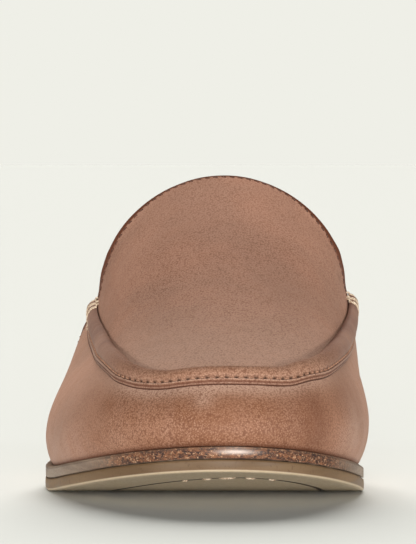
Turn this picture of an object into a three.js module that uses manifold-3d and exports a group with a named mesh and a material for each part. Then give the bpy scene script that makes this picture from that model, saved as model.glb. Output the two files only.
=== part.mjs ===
// A flat slip-on mule for the right foot, with a moccasin apron, a raised rolled seam round it,
// a leather midsole, a leather outsole and a low stacked heel. Sizes are in millimetres.
// The toe points to -Y, the big-toe side is +X and +Z is up. The origin is on the ground, under
// the centre of the shoe's box.
import * as THREE from "three";
import { mergeVertices } from "three/addons/utils/BufferGeometryUtils.js";
import Module from "manifold-3d";

const wasm = await Module();
wasm.setup();

// Driving dimensions of the bottom
const SOLE_LENGTH = 262;
const BALL_WIDTH = 92;
const TOE_SPRING = 10.2;
const HEEL_HEIGHT = 18;
const HEEL_LENGTH = 58;
const OUTSOLE_THICKNESS = 3.4;
const MIDSOLE_THICKNESS = 3.3;
const TOP_LIFT_THICKNESS = 5;
const INSOLE_THICKNESS = 3;
const WELT_MARGIN = 2;
const HEEL_INSET = 1;
const HEEL_TAPER = 1.4;
const OUTSOLE_BEVEL = 0.6;
const MIDSOLE_ROUNDING = 0.8;
const INSOLE_HEEL_MARGIN = 1.3;
const INSOLE_ROUNDING = 0.8;

// Driving dimensions of the upper
const UPPER_WALL = 2.2;
const INSTEP_HEIGHT = 81.8; // throat above the line where upper and midsole meet
const VAMP_LENGTH = 122; // toe tip to throat, in plan
const QUARTER_LENGTH = 176; // toe tip to where the topline meets the midsole, in plan
const APRON_SETBACK = 12; // toe tip to the front of the apron, in plan
const ROLL_TOE_WIDTH = 6.6;
const ROLL_END_WIDTH = 8.2;
const ROLL_RISE = 2.6;

// Clearance between two pieces that meet
const CONTACT_GAP = 0.3;

// Stretch behind the upper in which the insole widens to the midsole's edge
const INSOLE_WIDENING = { from: 1.01 * QUARTER_LENGTH, to: 1.12 * QUARTER_LENGTH };

// Round ends of the outlines: length of the round stretch and power of its curve
const TOE_ROUND = { length: 0.21 * SOLE_LENGTH, power: 2.1 };
const HEEL_ROUND = { length: 0.122 * SOLE_LENGTH, power: 2.0 };
const APRON_ROUND = { length: 2 * APRON_SETBACK, power: 2.2 };

// Outline of the sole: at is the share of the length from the toe, and lateral and medial are the
// half widths either side of the line from toe to heel, as shares of the ball width.
const SOLE_OUTLINE = [
  { at: 0.0, lateral: 0.408, medial: 0.389 },
  { at: 0.076, lateral: 0.439, medial: 0.397 },
  { at: 0.134, lateral: 0.464, medial: 0.404 },
  { at: 0.21, lateral: 0.51, medial: 0.421 },
  { at: 0.29, lateral: 0.55, medial: 0.435 },
  { at: 0.37, lateral: 0.565, medial: 0.42 },
  { at: 0.458, lateral: 0.543, medial: 0.37 },
  { at: 0.553, lateral: 0.487, medial: 0.32 },
  { at: 0.63, lateral: 0.434, medial: 0.301 },
  { at: 0.706, lateral: 0.391, medial: 0.302 },
  { at: 0.782, lateral: 0.366, medial: 0.317 },
  { at: 0.859, lateral: 0.358, medial: 0.333 },
  { at: 0.935, lateral: 0.354, medial: 0.339 },
  { at: 1.0, lateral: 0.353, medial: 0.34 },
];

// Underside of the outsole behind the ball: rise is a share of the heel height.
const SHANK_LINE = [
  { at: 0.36, rise: 0 },
  { at: 0.4, rise: 0 },
  { at: 0.46, rise: 0.065 },
  { at: 0.53, rise: 0.25 },
  { at: 0.61, rise: 0.51 },
  { at: 0.69, rise: 0.74 },
  { at: 0.77, rise: 0.895 },
  { at: 0.85, rise: 0.97 },
  { at: 0.92, rise: 1 },
  { at: 1.0, rise: 1.01 },
];
const TOE_SPRING_END = 0.313; // share of the length where the toe spring has run out
const TOE_SPRING_POWER = 1.5;

// Form of the upper. at is the share of the way from the apron's front to the throat, in plan.
// seamLateral and seamMedial are the seam's heights and crown is the rise of the apron's middle over
// them, all as shares of the instep height. apronLateral and apronMedial are the seam's half widths,
// and bulgeLateral and bulgeMedial are how far the side walls swell, as shares of the ball width.
// fullness squares the apron's arch.
const UPPER_FORM = [
  { at: 0, seamLateral: 0.247, seamMedial: 0.247, crown: 0, apronLateral: 0.245, apronMedial: 0.25,
    bulgeLateral: 0.029, bulgeMedial: 0.029, fullness: 1.05 },
  { at: 0.045, seamLateral: 0.24, seamMedial: 0.253, crown: 0.03, apronLateral: 0.256, apronMedial: 0.26,
    bulgeLateral: 0.03, bulgeMedial: 0.03, fullness: 1.05 },
  { at: 0.09, seamLateral: 0.25, seamMedial: 0.277, crown: 0.043, apronLateral: 0.27, apronMedial: 0.264,
    bulgeLateral: 0.03, bulgeMedial: 0.032, fullness: 1.07 },
  { at: 0.165, seamLateral: 0.281, seamMedial: 0.304, crown: 0.063, apronLateral: 0.294, apronMedial: 0.282,
    bulgeLateral: 0.03, bulgeMedial: 0.034, fullness: 1.1 },
  { at: 0.3, seamLateral: 0.335, seamMedial: 0.355, crown: 0.099, apronLateral: 0.331, apronMedial: 0.323,
    bulgeLateral: 0.03, bulgeMedial: 0.038, fullness: 1.16 },
  { at: 0.44, seamLateral: 0.376, seamMedial: 0.395, crown: 0.157, apronLateral: 0.358, apronMedial: 0.35,
    bulgeLateral: 0.032, bulgeMedial: 0.042, fullness: 1.24 },
  { at: 0.62, seamLateral: 0.411, seamMedial: 0.434, crown: 0.256, apronLateral: 0.376, apronMedial: 0.373,
    bulgeLateral: 0.034, bulgeMedial: 0.045, fullness: 1.36 },
  { at: 0.8, seamLateral: 0.434, seamMedial: 0.457, crown: 0.378, apronLateral: 0.39, apronMedial: 0.388,
    bulgeLateral: 0.034, bulgeMedial: 0.046, fullness: 1.56 },
  { at: 1, seamLateral: 0.47, seamMedial: 0.492, crown: 0.521, apronLateral: 0.41, apronMedial: 0.403,
    bulgeLateral: 0.033, bulgeMedial: 0.046, fullness: 1.83 },
  { at: 1.16, seamLateral: 0.517, seamMedial: 0.549, crown: 0.582, apronLateral: 0.418, apronMedial: 0.405,
    bulgeLateral: 0.03, bulgeMedial: 0.04, fullness: 1.58 },
  { at: 1.345, seamLateral: 0.54, seamMedial: 0.574, crown: 0.63, apronLateral: 0.422, apronMedial: 0.408,
    bulgeLateral: 0.026, bulgeMedial: 0.033, fullness: 1.52 },
  { at: 1.56, seamLateral: 0.55, seamMedial: 0.584, crown: 0.67, apronLateral: 0.423, apronMedial: 0.409,
    bulgeLateral: 0.022, bulgeMedial: 0.028, fullness: 1.5 },
];

// Topline seen from the side: at is the share of the way from the throat to the quarter's end, and
// height is the share of the instep height above the midsole.
const TOPLINE = [
  { at: 0, height: 1 },
  { at: 0.1, height: 0.7 },
  { at: 0.2, height: 0.505 },
  { at: 0.35, height: 0.385 },
  { at: 0.5, height: 0.29 },
  { at: 0.65, height: 0.2 },
  { at: 0.8, height: 0.115 },
  { at: 0.92, height: 0.045 },
  { at: 1, height: 0 },
];

// Section of the raised seam: across runs from the apron to the wall as a share of the roll's width,
// and rise is a share of its rise. The last rows are under the leather and are trimmed away.
const ROLL_SECTION = [
  { across: -0.42, rise: -0.35 },
  { across: -0.42, rise: 0.15 },
  { across: -0.345, rise: 0.62 },
  { across: -0.18, rise: 0.93 },
  { across: 0.03, rise: 1 },
  { across: 0.24, rise: 0.86 },
  { across: 0.37, rise: 0.55 },
  { across: 0.46, rise: 0.58 },
  { across: 0.52, rise: 0.36 },
  { across: 0.48, rise: -0.35 },
  { across: 0.3, rise: -1.0 },
  { across: -0.3, rise: -1.0 },
];

const WALL_SWELL = 0.8; // under 1, the side walls swell most below their middle

// Fineness of the meshes
const SOLE_STATIONS = 46;
const HEEL_STATIONS = 18;
const UPPER_ROWS = 32;
const WALL_COLUMNS = 8;
const APRON_COLUMNS = 10;
const ROLL_STEPS = 36;

const LATERAL = -1;
const MEDIAL = 1;

// A smooth curve through one column of a table, straight beyond its ends.
function tableColumn(rows, key) {
  const x = rows.map((row) => row.at);
  const y = rows.map((row) => row[key]);
  const last = x.length - 1;
  const chord = (i) => (y[i + 1] - y[i]) / (x[i + 1] - x[i]);
  const slope = (i) => {
    if (i === 0) return chord(0);
    if (i === last) return chord(last - 1);
    const before = x[i] - x[i - 1];
    const after = x[i + 1] - x[i];
    return (chord(i - 1) * after + chord(i) * before) / (before + after);
  };
  const slopes = x.map((_, i) => slope(i));
  return (at) => {
    if (at <= x[0]) return y[0] + slopes[0] * (at - x[0]);
    if (at >= x[last]) return y[last] + slopes[last] * (at - x[last]);
    let i = 0;
    while (at > x[i + 1]) i += 1;
    const span = x[i + 1] - x[i];
    const t = (at - x[i]) / span;
    const rest = 1 - t;
    const value = y[i] * (1 + 2 * t) * rest * rest + y[i + 1] * (1 + 2 * rest) * t * t;
    return value + span * t * rest * (slopes[i] * rest - slopes[i + 1] * t);
  };
}

const outline = {
  [LATERAL]: tableColumn(SOLE_OUTLINE, "lateral"),
  [MEDIAL]: tableColumn(SOLE_OUTLINE, "medial"),
};
const seamRise = {
  [LATERAL]: tableColumn(UPPER_FORM, "seamLateral"),
  [MEDIAL]: tableColumn(UPPER_FORM, "seamMedial"),
};
const apronWidth = {
  [LATERAL]: tableColumn(UPPER_FORM, "apronLateral"),
  [MEDIAL]: tableColumn(UPPER_FORM, "apronMedial"),
};
const wallBulge = {
  [LATERAL]: tableColumn(UPPER_FORM, "bulgeLateral"),
  [MEDIAL]: tableColumn(UPPER_FORM, "bulgeMedial"),
};
const crownRise = tableColumn(UPPER_FORM, "crown");
const archFullness = tableColumn(UPPER_FORM, "fullness");
const shankRise = tableColumn(SHANK_LINE, "rise");
const toplineHeight = tableColumn(TOPLINE, "height");

// Growth of a half width over a round end, from 0 at the tip to 1 where the round stretch ends.
function roundEnd(distance, round) {
  const left = THREE.MathUtils.clamp(1 - distance / round.length, 0, 1);
  return (1 - left ** round.power) ** (1 / round.power);
}

function soleHalfWidth(side, s) {
  const ends = roundEnd(s, TOE_ROUND) * roundEnd(SOLE_LENGTH - s, HEEL_ROUND);
  return BALL_WIDTH * outline[side](s / SOLE_LENGTH) * ends;
}

// Point of the sole's edge. turn is 0 at the toe, negative on the lateral side, positive on the
// medial side and PI or -PI at the heel. x is across the shoe and s is back from the toe tip.
function edgePoint(turn) {
  let wrapped = turn;
  if (turn > Math.PI) wrapped = turn - 2 * Math.PI;
  if (turn < -Math.PI) wrapped = turn + 2 * Math.PI;
  const side = wrapped < 0 ? LATERAL : MEDIAL;
  const s = (SOLE_LENGTH * (1 - Math.cos(wrapped))) / 2;
  return { x: side * soleHalfWidth(side, s), s };
}

function turnAt(side, s) {
  const share = THREE.MathUtils.clamp(s / SOLE_LENGTH, 0, 1);
  return side * Math.acos(1 - 2 * share);
}

// Outward direction of the sole's edge, in plan.
const TURN_STEP = 0.004;
function edgeNormal(turn) {
  const before = edgePoint(turn - TURN_STEP);
  const after = edgePoint(turn + TURN_STEP);
  const length = Math.hypot(after.x - before.x, after.s - before.s);
  return { x: (after.s - before.s) / length, s: -(after.x - before.x) / length };
}

function insetPoint(turn, inset) {
  const edge = edgePoint(turn);
  const normal = edgeNormal(turn);
  return { x: edge.x - normal.x * inset, s: edge.s - normal.s * inset };
}

// Side view of the bottom: heights of each layer at a distance s from the toe tip.
function outsoleBottom(s) {
  const springEnd = TOE_SPRING_END * SOLE_LENGTH;
  if (s < springEnd) return TOE_SPRING * (1 - s / springEnd) ** TOE_SPRING_POWER;
  const share = s / SOLE_LENGTH;
  if (share < SHANK_LINE[1].at) return 0;
  return HEEL_HEIGHT * shankRise(share);
}
const outsoleTop = (s) => outsoleBottom(s) + OUTSOLE_THICKNESS;
const midsoleBottom = (s) => outsoleTop(s) + CONTACT_GAP;
const midsoleTop = (s) => midsoleBottom(s) + MIDSOLE_THICKNESS;
const featherLine = (s) => midsoleTop(s) + CONTACT_GAP;
const insoleTop = (s) => featherLine(s) + INSOLE_THICKNESS;

// A closed geometry from triangles that are given as lists of three points.
function closedGeometry(triangles) {
  const soup = new THREE.BufferGeometry();
  soup.setAttribute("position", new THREE.Float32BufferAttribute(triangles.flat(2), 3));
  const merged = mergeVertices(soup, 1e-3);
  const index = merged.index.array;
  const kept = [];
  for (let i = 0; i < index.length; i += 3) {
    const [a, b, c] = [index[i], index[i + 1], index[i + 2]];
    if (a !== b && b !== c && c !== a) kept.push(a, b, c);
  }
  merged.setIndex(kept);
  if (signedVolume(merged) < 0) merged.setIndex(kept.reverse());
  return merged;
}

function signedVolume(geometry) {
  const position = geometry.getAttribute("position");
  const corner = [0, 1, 2].map(() => new THREE.Vector3());
  let total = 0;
  for (let i = 0; i < geometry.index.count; i += 3) {
    corner.forEach((v, k) => v.fromBufferAttribute(position, geometry.index.getX(i + k)));
    total += corner[0].dot(corner[1].cross(corner[2])) / 6;
  }
  return total;
}

const quad = (a, b, c, d) => [[a, b, c], [a, c, d]];

function manifoldOf(geometry) {
  return new wasm.Manifold(
    new wasm.Mesh({
      numProp: 3,
      vertProperties: new Float32Array(geometry.getAttribute("position").array),
      triVerts: new Uint32Array(geometry.index.array),
    }),
  );
}

function geometryOf(solid) {
  const mesh = solid.getMesh();
  const geometry = new THREE.BufferGeometry();
  geometry.setAttribute("position", new THREE.BufferAttribute(mesh.vertProperties, 3));
  geometry.setIndex(new THREE.BufferAttribute(mesh.triVerts, 1));
  return geometry;
}

// A layer of the bottom. profile goes up its side, each row with an inset from the sole's edge and a
// height, both functions of s. The layer runs from the turn called start to the heel tip.
function layer(profile, start, stations) {
  const place = (side, turn) =>
    profile.map((row) => {
      const edge = edgePoint(side * turn);
      const p = insetPoint(side * turn, row.inset(edge.s));
      return [p.x, p.s, row.height(p.s)];
    });
  const rings = [];
  for (let i = 0; i <= stations; i += 1) {
    const turn = start + ((Math.PI - start) * i) / stations;
    rings.push({ lateral: place(LATERAL, turn), medial: place(MEDIAL, turn) });
  }
  const top = profile.length - 1;
  const triangles = [];
  for (let i = 0; i < stations; i += 1) {
    const [here, next] = [rings[i], rings[i + 1]];
    for (let k = 0; k < top; k += 1) {
      triangles.push(...quad(here.lateral[k], here.lateral[k + 1], next.lateral[k + 1], next.lateral[k]));
      triangles.push(...quad(here.medial[k], next.medial[k], next.medial[k + 1], here.medial[k + 1]));
    }
    triangles.push(...quad(here.lateral[0], next.lateral[0], next.medial[0], here.medial[0]));
    triangles.push(...quad(here.lateral[top], here.medial[top], next.medial[top], next.lateral[top]));
  }
  for (const [ring, turned] of [[rings[0], false], [rings[stations], true]]) {
    for (let k = 0; k < top; k += 1) {
      const corners = [ring.lateral[k], ring.medial[k], ring.medial[k + 1], ring.lateral[k + 1]];
      triangles.push(...quad(...(turned ? corners.reverse() : corners)));
    }
  }
  return closedGeometry(triangles);
}

const steady = (value) => () => value;

function outsoleGeometry() {
  const shoulder = (s) => outsoleBottom(s) + OUTSOLE_BEVEL;
  const profile = [
    { inset: steady(OUTSOLE_BEVEL), height: outsoleBottom },
    { inset: steady(0), height: shoulder },
    { inset: steady(0), height: outsoleTop },
  ];
  return layer(profile, 0, SOLE_STATIONS);
}

function midsoleGeometry() {
  const half = MIDSOLE_ROUNDING / 2;
  const profile = [
    { inset: steady(0), height: midsoleBottom },
    { inset: steady(0), height: (s) => midsoleTop(s) - MIDSOLE_ROUNDING },
    { inset: steady(half / 2), height: (s) => midsoleTop(s) - half / 2 },
    { inset: steady(MIDSOLE_ROUNDING), height: midsoleTop },
  ];
  return layer(profile, 0, SOLE_STATIONS);
}

// The insole lies inside the upper's wall, and behind the quarter it widens to the midsole's edge.
function insoleGeometry() {
  const inside = WELT_MARGIN + UPPER_WALL + CONTACT_GAP;
  const inset = (s) => {
    const widening = THREE.MathUtils.smoothstep(s, INSOLE_WIDENING.from, INSOLE_WIDENING.to);
    return THREE.MathUtils.lerp(inside, INSOLE_HEEL_MARGIN, widening);
  };
  const profile = [
    { inset, height: featherLine },
    { inset, height: (s) => insoleTop(s) - INSOLE_ROUNDING },
    { inset: (s) => inset(s) + INSOLE_ROUNDING, height: insoleTop },
  ];
  return layer(profile, 0, SOLE_STATIONS);
}

// A layer of the heel, under the back of the sole. The heel tapers in towards the ground.
function heelGeometry(bottom, top, lowest) {
  const insetAt = (z) => HEEL_INSET + HEEL_TAPER * (1 - THREE.MathUtils.clamp(z / HEEL_HEIGHT, 0, 1));
  const profile = [
    { inset: steady(insetAt(lowest)), height: bottom },
    { inset: (s) => insetAt(top(s)), height: top },
  ];
  return layer(profile, turnAt(MEDIAL, SOLE_LENGTH - HEEL_LENGTH), HEEL_STATIONS);
}

const topLiftGeometry = () => heelGeometry(steady(0), steady(TOP_LIFT_THICKNESS), 0);

function heelBlockGeometry() {
  const lowest = TOP_LIFT_THICKNESS + CONTACT_GAP;
  return heelGeometry(steady(lowest), (s) => outsoleBottom(s) - CONTACT_GAP, lowest);
}

// Even steps round the toe and along the sides: the distance back from the tip grows slowly at first.
// Row 1 lies a little behind the end of the quarter.
const TIP_SOFTNESS = 0.2;
const LAST_STATION = 1.04 * QUARTER_LENGTH;
function backFromTip(row, tip) {
  const grown = Math.hypot(row, TIP_SOFTNESS) - TIP_SOFTNESS;
  const whole = Math.hypot(1, TIP_SOFTNESS) - TIP_SOFTNESS;
  return tip + (LAST_STATION - tip) * (grown / whole);
}

const alongApron = (s) => (s - APRON_SETBACK) / (VAMP_LENGTH - APRON_SETBACK);

function seamPoint(side, s) {
  const share = alongApron(s);
  const halfWidth = BALL_WIDTH * apronWidth[side](share) * roundEnd(s - APRON_SETBACK, APRON_ROUND);
  return { x: side * halfWidth, s, z: featherLine(s) + INSTEP_HEIGHT * seamRise[side](share) };
}

// Height of the apron's middle line.
function ridgeHeight(s) {
  const share = alongApron(s);
  const seams = (seamRise[LATERAL](share) + seamRise[MEDIAL](share)) / 2;
  return featherLine(s) + INSTEP_HEIGHT * (seams + crownRise(share));
}

// Side wall of the upper: up is 0 where it meets the midsole and 1 at the seam. It leaves the midsole
// upright where the seam lies inwards of its foot.
const LEAN_SOFTNESS = 4;
function wallPoint(side, row, up) {
  const turn = turnAt(side, backFromTip(row, 0));
  const foot = insetPoint(turn, WELT_MARGIN);
  const normal = edgeNormal(turn);
  const seam = seamPoint(side, backFromTip(row, APRON_SETBACK));
  const outward = (seam.x - foot.x) * normal.x + (seam.s - foot.s) * normal.s;
  const lean = up + (up * (1 - up) * outward) / Math.hypot(outward, LEAN_SOFTNESS);
  const bulge = BALL_WIDTH * wallBulge[side](alongApron(seam.s)) * Math.sin(Math.PI * up ** WALL_SWELL);
  const along = { x: seam.x - foot.x - outward * normal.x, s: seam.s - foot.s - outward * normal.s };
  const out = outward * lean + bulge;
  const x = foot.x + along.x * up + normal.x * out;
  const s = foot.s + along.s * up + normal.s * out;
  const footHeight = featherLine(foot.s);
  return new THREE.Vector3(x, s, footHeight + (seam.z - footHeight) * up);
}

// Apron of the upper: across is 0 on the middle line and 1 at the seam.
function apronPoint(side, row, across) {
  const s = backFromTip(row, APRON_SETBACK);
  const seam = seamPoint(side, s);
  const angle = (across * Math.PI) / 2;
  const arch = Math.cos(angle) ** (2 / archFullness(alongApron(s)));
  const z = seam.z + (ridgeHeight(s) - seam.z) * Math.max(arch, 0);
  return new THREE.Vector3(seam.x * Math.sin(angle), s, z);
}

// Outer face of the upper. girth runs from -1 at the lateral foot over the apron to 1 at the medial
// foot, and row from 0 at the toe to 1 at the heel end of the last.
const SEAM_GIRTH = APRON_COLUMNS / (APRON_COLUMNS + WALL_COLUMNS);
function lastPoint(row, girth) {
  const side = girth < 0 ? LATERAL : MEDIAL;
  const share = Math.abs(girth);
  if (share <= SEAM_GIRTH) return apronPoint(side, row, share / SEAM_GIRTH);
  return wallPoint(side, row, (1 - share) / (1 - SEAM_GIRTH));
}

function toplineAt(s) {
  const share = (s - VAMP_LENGTH) / (QUARTER_LENGTH - VAMP_LENGTH);
  return featherLine(s) + INSTEP_HEIGHT * toplineHeight(share);
}

// Row at which the upper's face meets the topline, found by halving.
const TOPLINE_SEARCH_START = 0.3;
const HALVINGS = 40;
function toplineRow(girth) {
  let low = TOPLINE_SEARCH_START;
  let high = 1;
  for (let i = 0; i < HALVINGS; i += 1) {
    const middle = (low + high) / 2;
    const p = lastPoint(middle, girth);
    if (p.z < toplineAt(p.y)) low = middle;
    else high = middle;
  }
  return (low + high) / 2;
}

// Outer face as a grid of points, rows from the toe to the topline or past it.
function upperGrid(rows, past = 0) {
  const columns = 2 * (WALL_COLUMNS + APRON_COLUMNS);
  const girths = Array.from({ length: columns + 1 }, (_, j) => -1 + (2 * j) / columns);
  const ends = girths.map((girth) => toplineRow(girth) + past);
  return Array.from({ length: rows + 1 }, (_, i) =>
    girths.map((girth, j) => lastPoint((ends[j] * i) / rows, girth)),
  );
}

// The same grid moved by a distance along the face's normals, outwards if it is positive. The feet
// move level, along the midsole.
function offsetGrid(grid, distance) {
  const [rows, columns] = [grid.length - 1, grid[0].length - 1];
  const triangles = [];
  for (let i = 0; i < rows; i += 1) {
    for (let j = 0; j < columns; j += 1) {
      const corners = [grid[i][j], grid[i][j + 1], grid[i + 1][j + 1], grid[i + 1][j]];
      triangles.push([corners[0], corners[1], corners[2]], [corners[0], corners[2], corners[3]]);
    }
  }
  const key = (p) => [p.x, p.y, p.z].map((value) => Math.round(value * 1e3)).join();
  const normals = new Map();
  for (const [a, b, c] of triangles) {
    const face = b.clone().sub(a).cross(c.clone().sub(a));
    for (const p of [a, b, c]) {
      if (!normals.has(key(p))) normals.set(key(p), new THREE.Vector3());
      normals.get(key(p)).add(face);
    }
  }
  const middle = grid[rows][columns / 2];
  const facing = Math.sign(normals.get(key(middle)).z) || 1;
  return grid.map((line) =>
    line.map((p, j) => {
      const normal = normals.get(key(p)).clone().multiplyScalar(facing);
      const foot = j === 0 || j === columns;
      if (foot) normal.z = 0;
      const moved = p.clone().addScaledVector(normal.normalize(), distance);
      if (foot) moved.z = featherLine(moved.y);
      return moved;
    }),
  );
}

const corner = (p) => [p.x, p.y, p.z];

function gridTriangles(grid) {
  const triangles = [];
  for (let i = 0; i < grid.length - 1; i += 1) {
    for (let j = 0; j < grid[i].length - 1; j += 1) {
      triangles.push(
        ...quad(corner(grid[i][j]), corner(grid[i][j + 1]), corner(grid[i + 1][j + 1]), corner(grid[i + 1][j])),
      );
    }
  }
  return triangles;
}

// A strip between two lines of points.
function strip(one, other) {
  const triangles = [];
  for (let i = 0; i < one.length - 1; i += 1) {
    triangles.push(...quad(corner(one[i]), corner(one[i + 1]), corner(other[i + 1]), corner(other[i])));
  }
  return triangles;
}

const turnedRound = (triangles) => triangles.map(([a, b, c]) => [a, c, b]);

// The upper: a wall open at the topline and underneath.
function upperGeometry() {
  const outer = upperGrid(UPPER_ROWS);
  const inner = offsetGrid(outer, -UPPER_WALL);
  const last = outer[0].length - 1;
  const lateralFoot = (grid) => grid.map((line) => line[0]);
  const medialFoot = (grid) => grid.map((line) => line[last]);
  return closedGeometry([
    ...gridTriangles(outer),
    ...turnedRound(gridTriangles(inner)),
    ...strip(lateralFoot(outer), lateralFoot(inner)),
    ...strip(medialFoot(inner), medialFoot(outer)),
    ...strip(outer[UPPER_ROWS], inner[UPPER_ROWS]),
  ]);
}

// The upper's form as a filled solid, grown by a distance and carried past the topline.
function filledForm(distance, past) {
  const grid = offsetGrid(upperGrid(UPPER_ROWS, past), distance);
  const last = grid[0].length - 1;
  const half = last / 2;
  const back = grid[UPPER_ROWS];
  const lateralBack = back.slice(0, half + 1);
  const medialBack = back.slice(half).reverse();
  return closedGeometry([
    ...gridTriangles(grid),
    ...strip(grid.map((line) => line[0]), grid.map((line) => line[last])),
    ...strip(lateralBack, medialBack),
  ]);
}

// The raised seam: a sweep round the apron, trimmed by the upper's form. Its direction is read from
// the face a step ahead and behind, and its tilt from the face above and below the seam.
const ALONG_STEP = 0.01;
const GIRTH_STEP = 0.08;
const ROWS_PAST_TOPLINE = 0.06;
function rollGeometry() {
  const ends = { [LATERAL]: toplineRow(-SEAM_GIRTH), [MEDIAL]: toplineRow(SEAM_GIRTH) };
  const ringAt = (side, row) => {
    const at = (r, girth) => lastPoint(r, side * girth);
    const middle = at(row, SEAM_GIRTH);
    const above = at(row, SEAM_GIRTH - GIRTH_STEP);
    const below = at(row, SEAM_GIRTH + GIRTH_STEP);
    const behind = at(row + ALONG_STEP, SEAM_GIRTH);
    const nearTip = row < ALONG_STEP;
    const before = nearTip ? lastPoint(ALONG_STEP, -side * SEAM_GIRTH) : at(row - ALONG_STEP, SEAM_GIRTH);
    const along = behind.clone().sub(before).normalize();
    const down = below.clone().sub(above);
    down.addScaledVector(along, -down.dot(along)).normalize();
    const out = along.clone().cross(down).multiplyScalar(-side).normalize();
    const width = THREE.MathUtils.lerp(ROLL_TOE_WIDTH, ROLL_END_WIDTH, row / ends[side]);
    return ROLL_SECTION.map(({ across, rise }) =>
      corner(middle.clone().addScaledVector(down, across * width).addScaledVector(out, rise * ROLL_RISE)),
    );
  };
  const rings = [];
  for (let i = ROLL_STEPS; i > 0; i -= 1) rings.push(ringAt(LATERAL, (ends[LATERAL] * i) / ROLL_STEPS));
  for (let i = 0; i <= ROLL_STEPS; i += 1) rings.push(ringAt(MEDIAL, (ends[MEDIAL] * i) / ROLL_STEPS));
  const triangles = [];
  const count = ROLL_SECTION.length;
  for (let i = 0; i < rings.length - 1; i += 1) {
    for (let k = 0; k < count; k += 1) {
      const next = (k + 1) % count;
      triangles.push(...quad(rings[i][k], rings[i][next], rings[i + 1][next], rings[i + 1][k]));
    }
  }
  for (const [ring, turned] of [[rings[0], true], [rings[rings.length - 1], false]]) {
    for (let k = 1; k < count - 1; k += 1) {
      const cap = [ring[0], ring[k], ring[k + 1]];
      triangles.push(turned ? [cap[0], cap[2], cap[1]] : cap);
    }
  }
  const sweep = manifoldOf(closedGeometry(triangles));
  const form = manifoldOf(filledForm(CONTACT_GAP, ROWS_PAST_TOPLINE));
  return geometryOf(sweep.subtract(form));
}

// Materials
const finish = (color, roughness) => new THREE.MeshStandardMaterial({ color, roughness, metalness: 0 });
const upperLeather = finish(0xa87d67, 0.55);
const rollLeather = finish(0x9c7460, 0.5);
const midsoleLeather = finish(0x7a5e4b, 0.4);
const outsoleLeather = finish(0x93836a, 0.6);
const heelLeather = finish(0x6f5442, 0.45);
const liftRubber = finish(0x4b3a2f, 0.7);
const insoleLeather = finish(0xb08d6d, 0.65);

function piece(name, geometry, material) {
  const mesh = new THREE.Mesh(geometry, material);
  mesh.name = name;
  return mesh;
}

const shoe = new THREE.Group();
shoe.add(
  piece("outsole", outsoleGeometry(), outsoleLeather),
  piece("midsole", midsoleGeometry(), midsoleLeather),
  piece("heel_block", heelBlockGeometry(), heelLeather),
  piece("heel_top_lift", topLiftGeometry(), liftRubber),
  piece("insole", insoleGeometry(), insoleLeather),
  piece("upper", upperGeometry(), upperLeather),
  piece("apron_roll", rollGeometry(), rollLeather),
);

// The origin is moved to the ground under the middle of the shoe's box.
const box = new THREE.Box3().setFromObject(shoe);
shoe.position.set(-(box.min.x + box.max.x) / 2, -(box.min.y + box.max.y) / 2, -box.min.z);

export default shoe;
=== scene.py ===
"""Looks of a flat slip-on mule for the right foot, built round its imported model.

Lengths are in millimetres until a mesh is made. x runs across the shoe from the line between toe
and heel, s runs back from the toe tip and z is up. The forms repeat the formulas of the solids.
"""
import math

import bmesh
import bpy
import numpy as np
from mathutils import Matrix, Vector, kdtree


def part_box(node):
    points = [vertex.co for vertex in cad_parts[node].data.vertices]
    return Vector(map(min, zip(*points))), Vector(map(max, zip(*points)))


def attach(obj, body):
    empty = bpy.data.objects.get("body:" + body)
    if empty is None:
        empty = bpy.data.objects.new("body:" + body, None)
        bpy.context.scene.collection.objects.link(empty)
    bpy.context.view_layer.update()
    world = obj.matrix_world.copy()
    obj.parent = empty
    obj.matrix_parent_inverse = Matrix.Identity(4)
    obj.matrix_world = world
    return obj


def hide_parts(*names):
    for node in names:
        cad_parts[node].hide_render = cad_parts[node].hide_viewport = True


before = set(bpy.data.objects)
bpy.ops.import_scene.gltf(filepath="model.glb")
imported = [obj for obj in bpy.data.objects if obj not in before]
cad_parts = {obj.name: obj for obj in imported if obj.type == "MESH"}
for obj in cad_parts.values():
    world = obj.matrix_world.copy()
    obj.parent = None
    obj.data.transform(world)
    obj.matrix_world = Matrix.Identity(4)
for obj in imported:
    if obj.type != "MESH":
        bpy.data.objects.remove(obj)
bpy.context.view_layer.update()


def table(columns, *rows):
    """Rows of numbers with a name for each column."""
    return np.array(list(rows), dtype=[(name, float) for name in columns.split()])


# Sizes of the bottom
SOLE_LENGTH = 262
BALL_WIDTH = 92
TOE_SPRING = 10.2
HEEL_HEIGHT = 18
HEEL_LENGTH = 58
OUTSOLE_THICKNESS = 3.4
MIDSOLE_THICKNESS = 3.3
TOP_LIFT_THICKNESS = 5
INSOLE_THICKNESS = 3
WELT_MARGIN = 2
HEEL_INSET = 1
HEEL_TAPER = 1.4
OUTSOLE_BEVEL = 0.6
MIDSOLE_ROUNDING = 0.8
INSOLE_HEEL_MARGIN = 1.3
INSOLE_ROUNDING = 0.8

# Sizes of the upper
UPPER_WALL = 2.2
INSTEP_HEIGHT = 81.8
VAMP_LENGTH = 122
QUARTER_LENGTH = 176
APRON_SETBACK = 12
ROLL_TOE_WIDTH = 6.6
ROLL_END_WIDTH = 8.2
ROLL_RISE = 2.6
CONTACT_GAP = 0.3
INSOLE_WIDENING = {"start": 1.01 * QUARTER_LENGTH, "end": 1.12 * QUARTER_LENGTH}
TOE_ROUND = {"length": 0.21 * SOLE_LENGTH, "power": 2.1}
HEEL_ROUND = {"length": 0.122 * SOLE_LENGTH, "power": 2.0}
APRON_ROUND = {"length": 2 * APRON_SETBACK, "power": 2.2}

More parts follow.
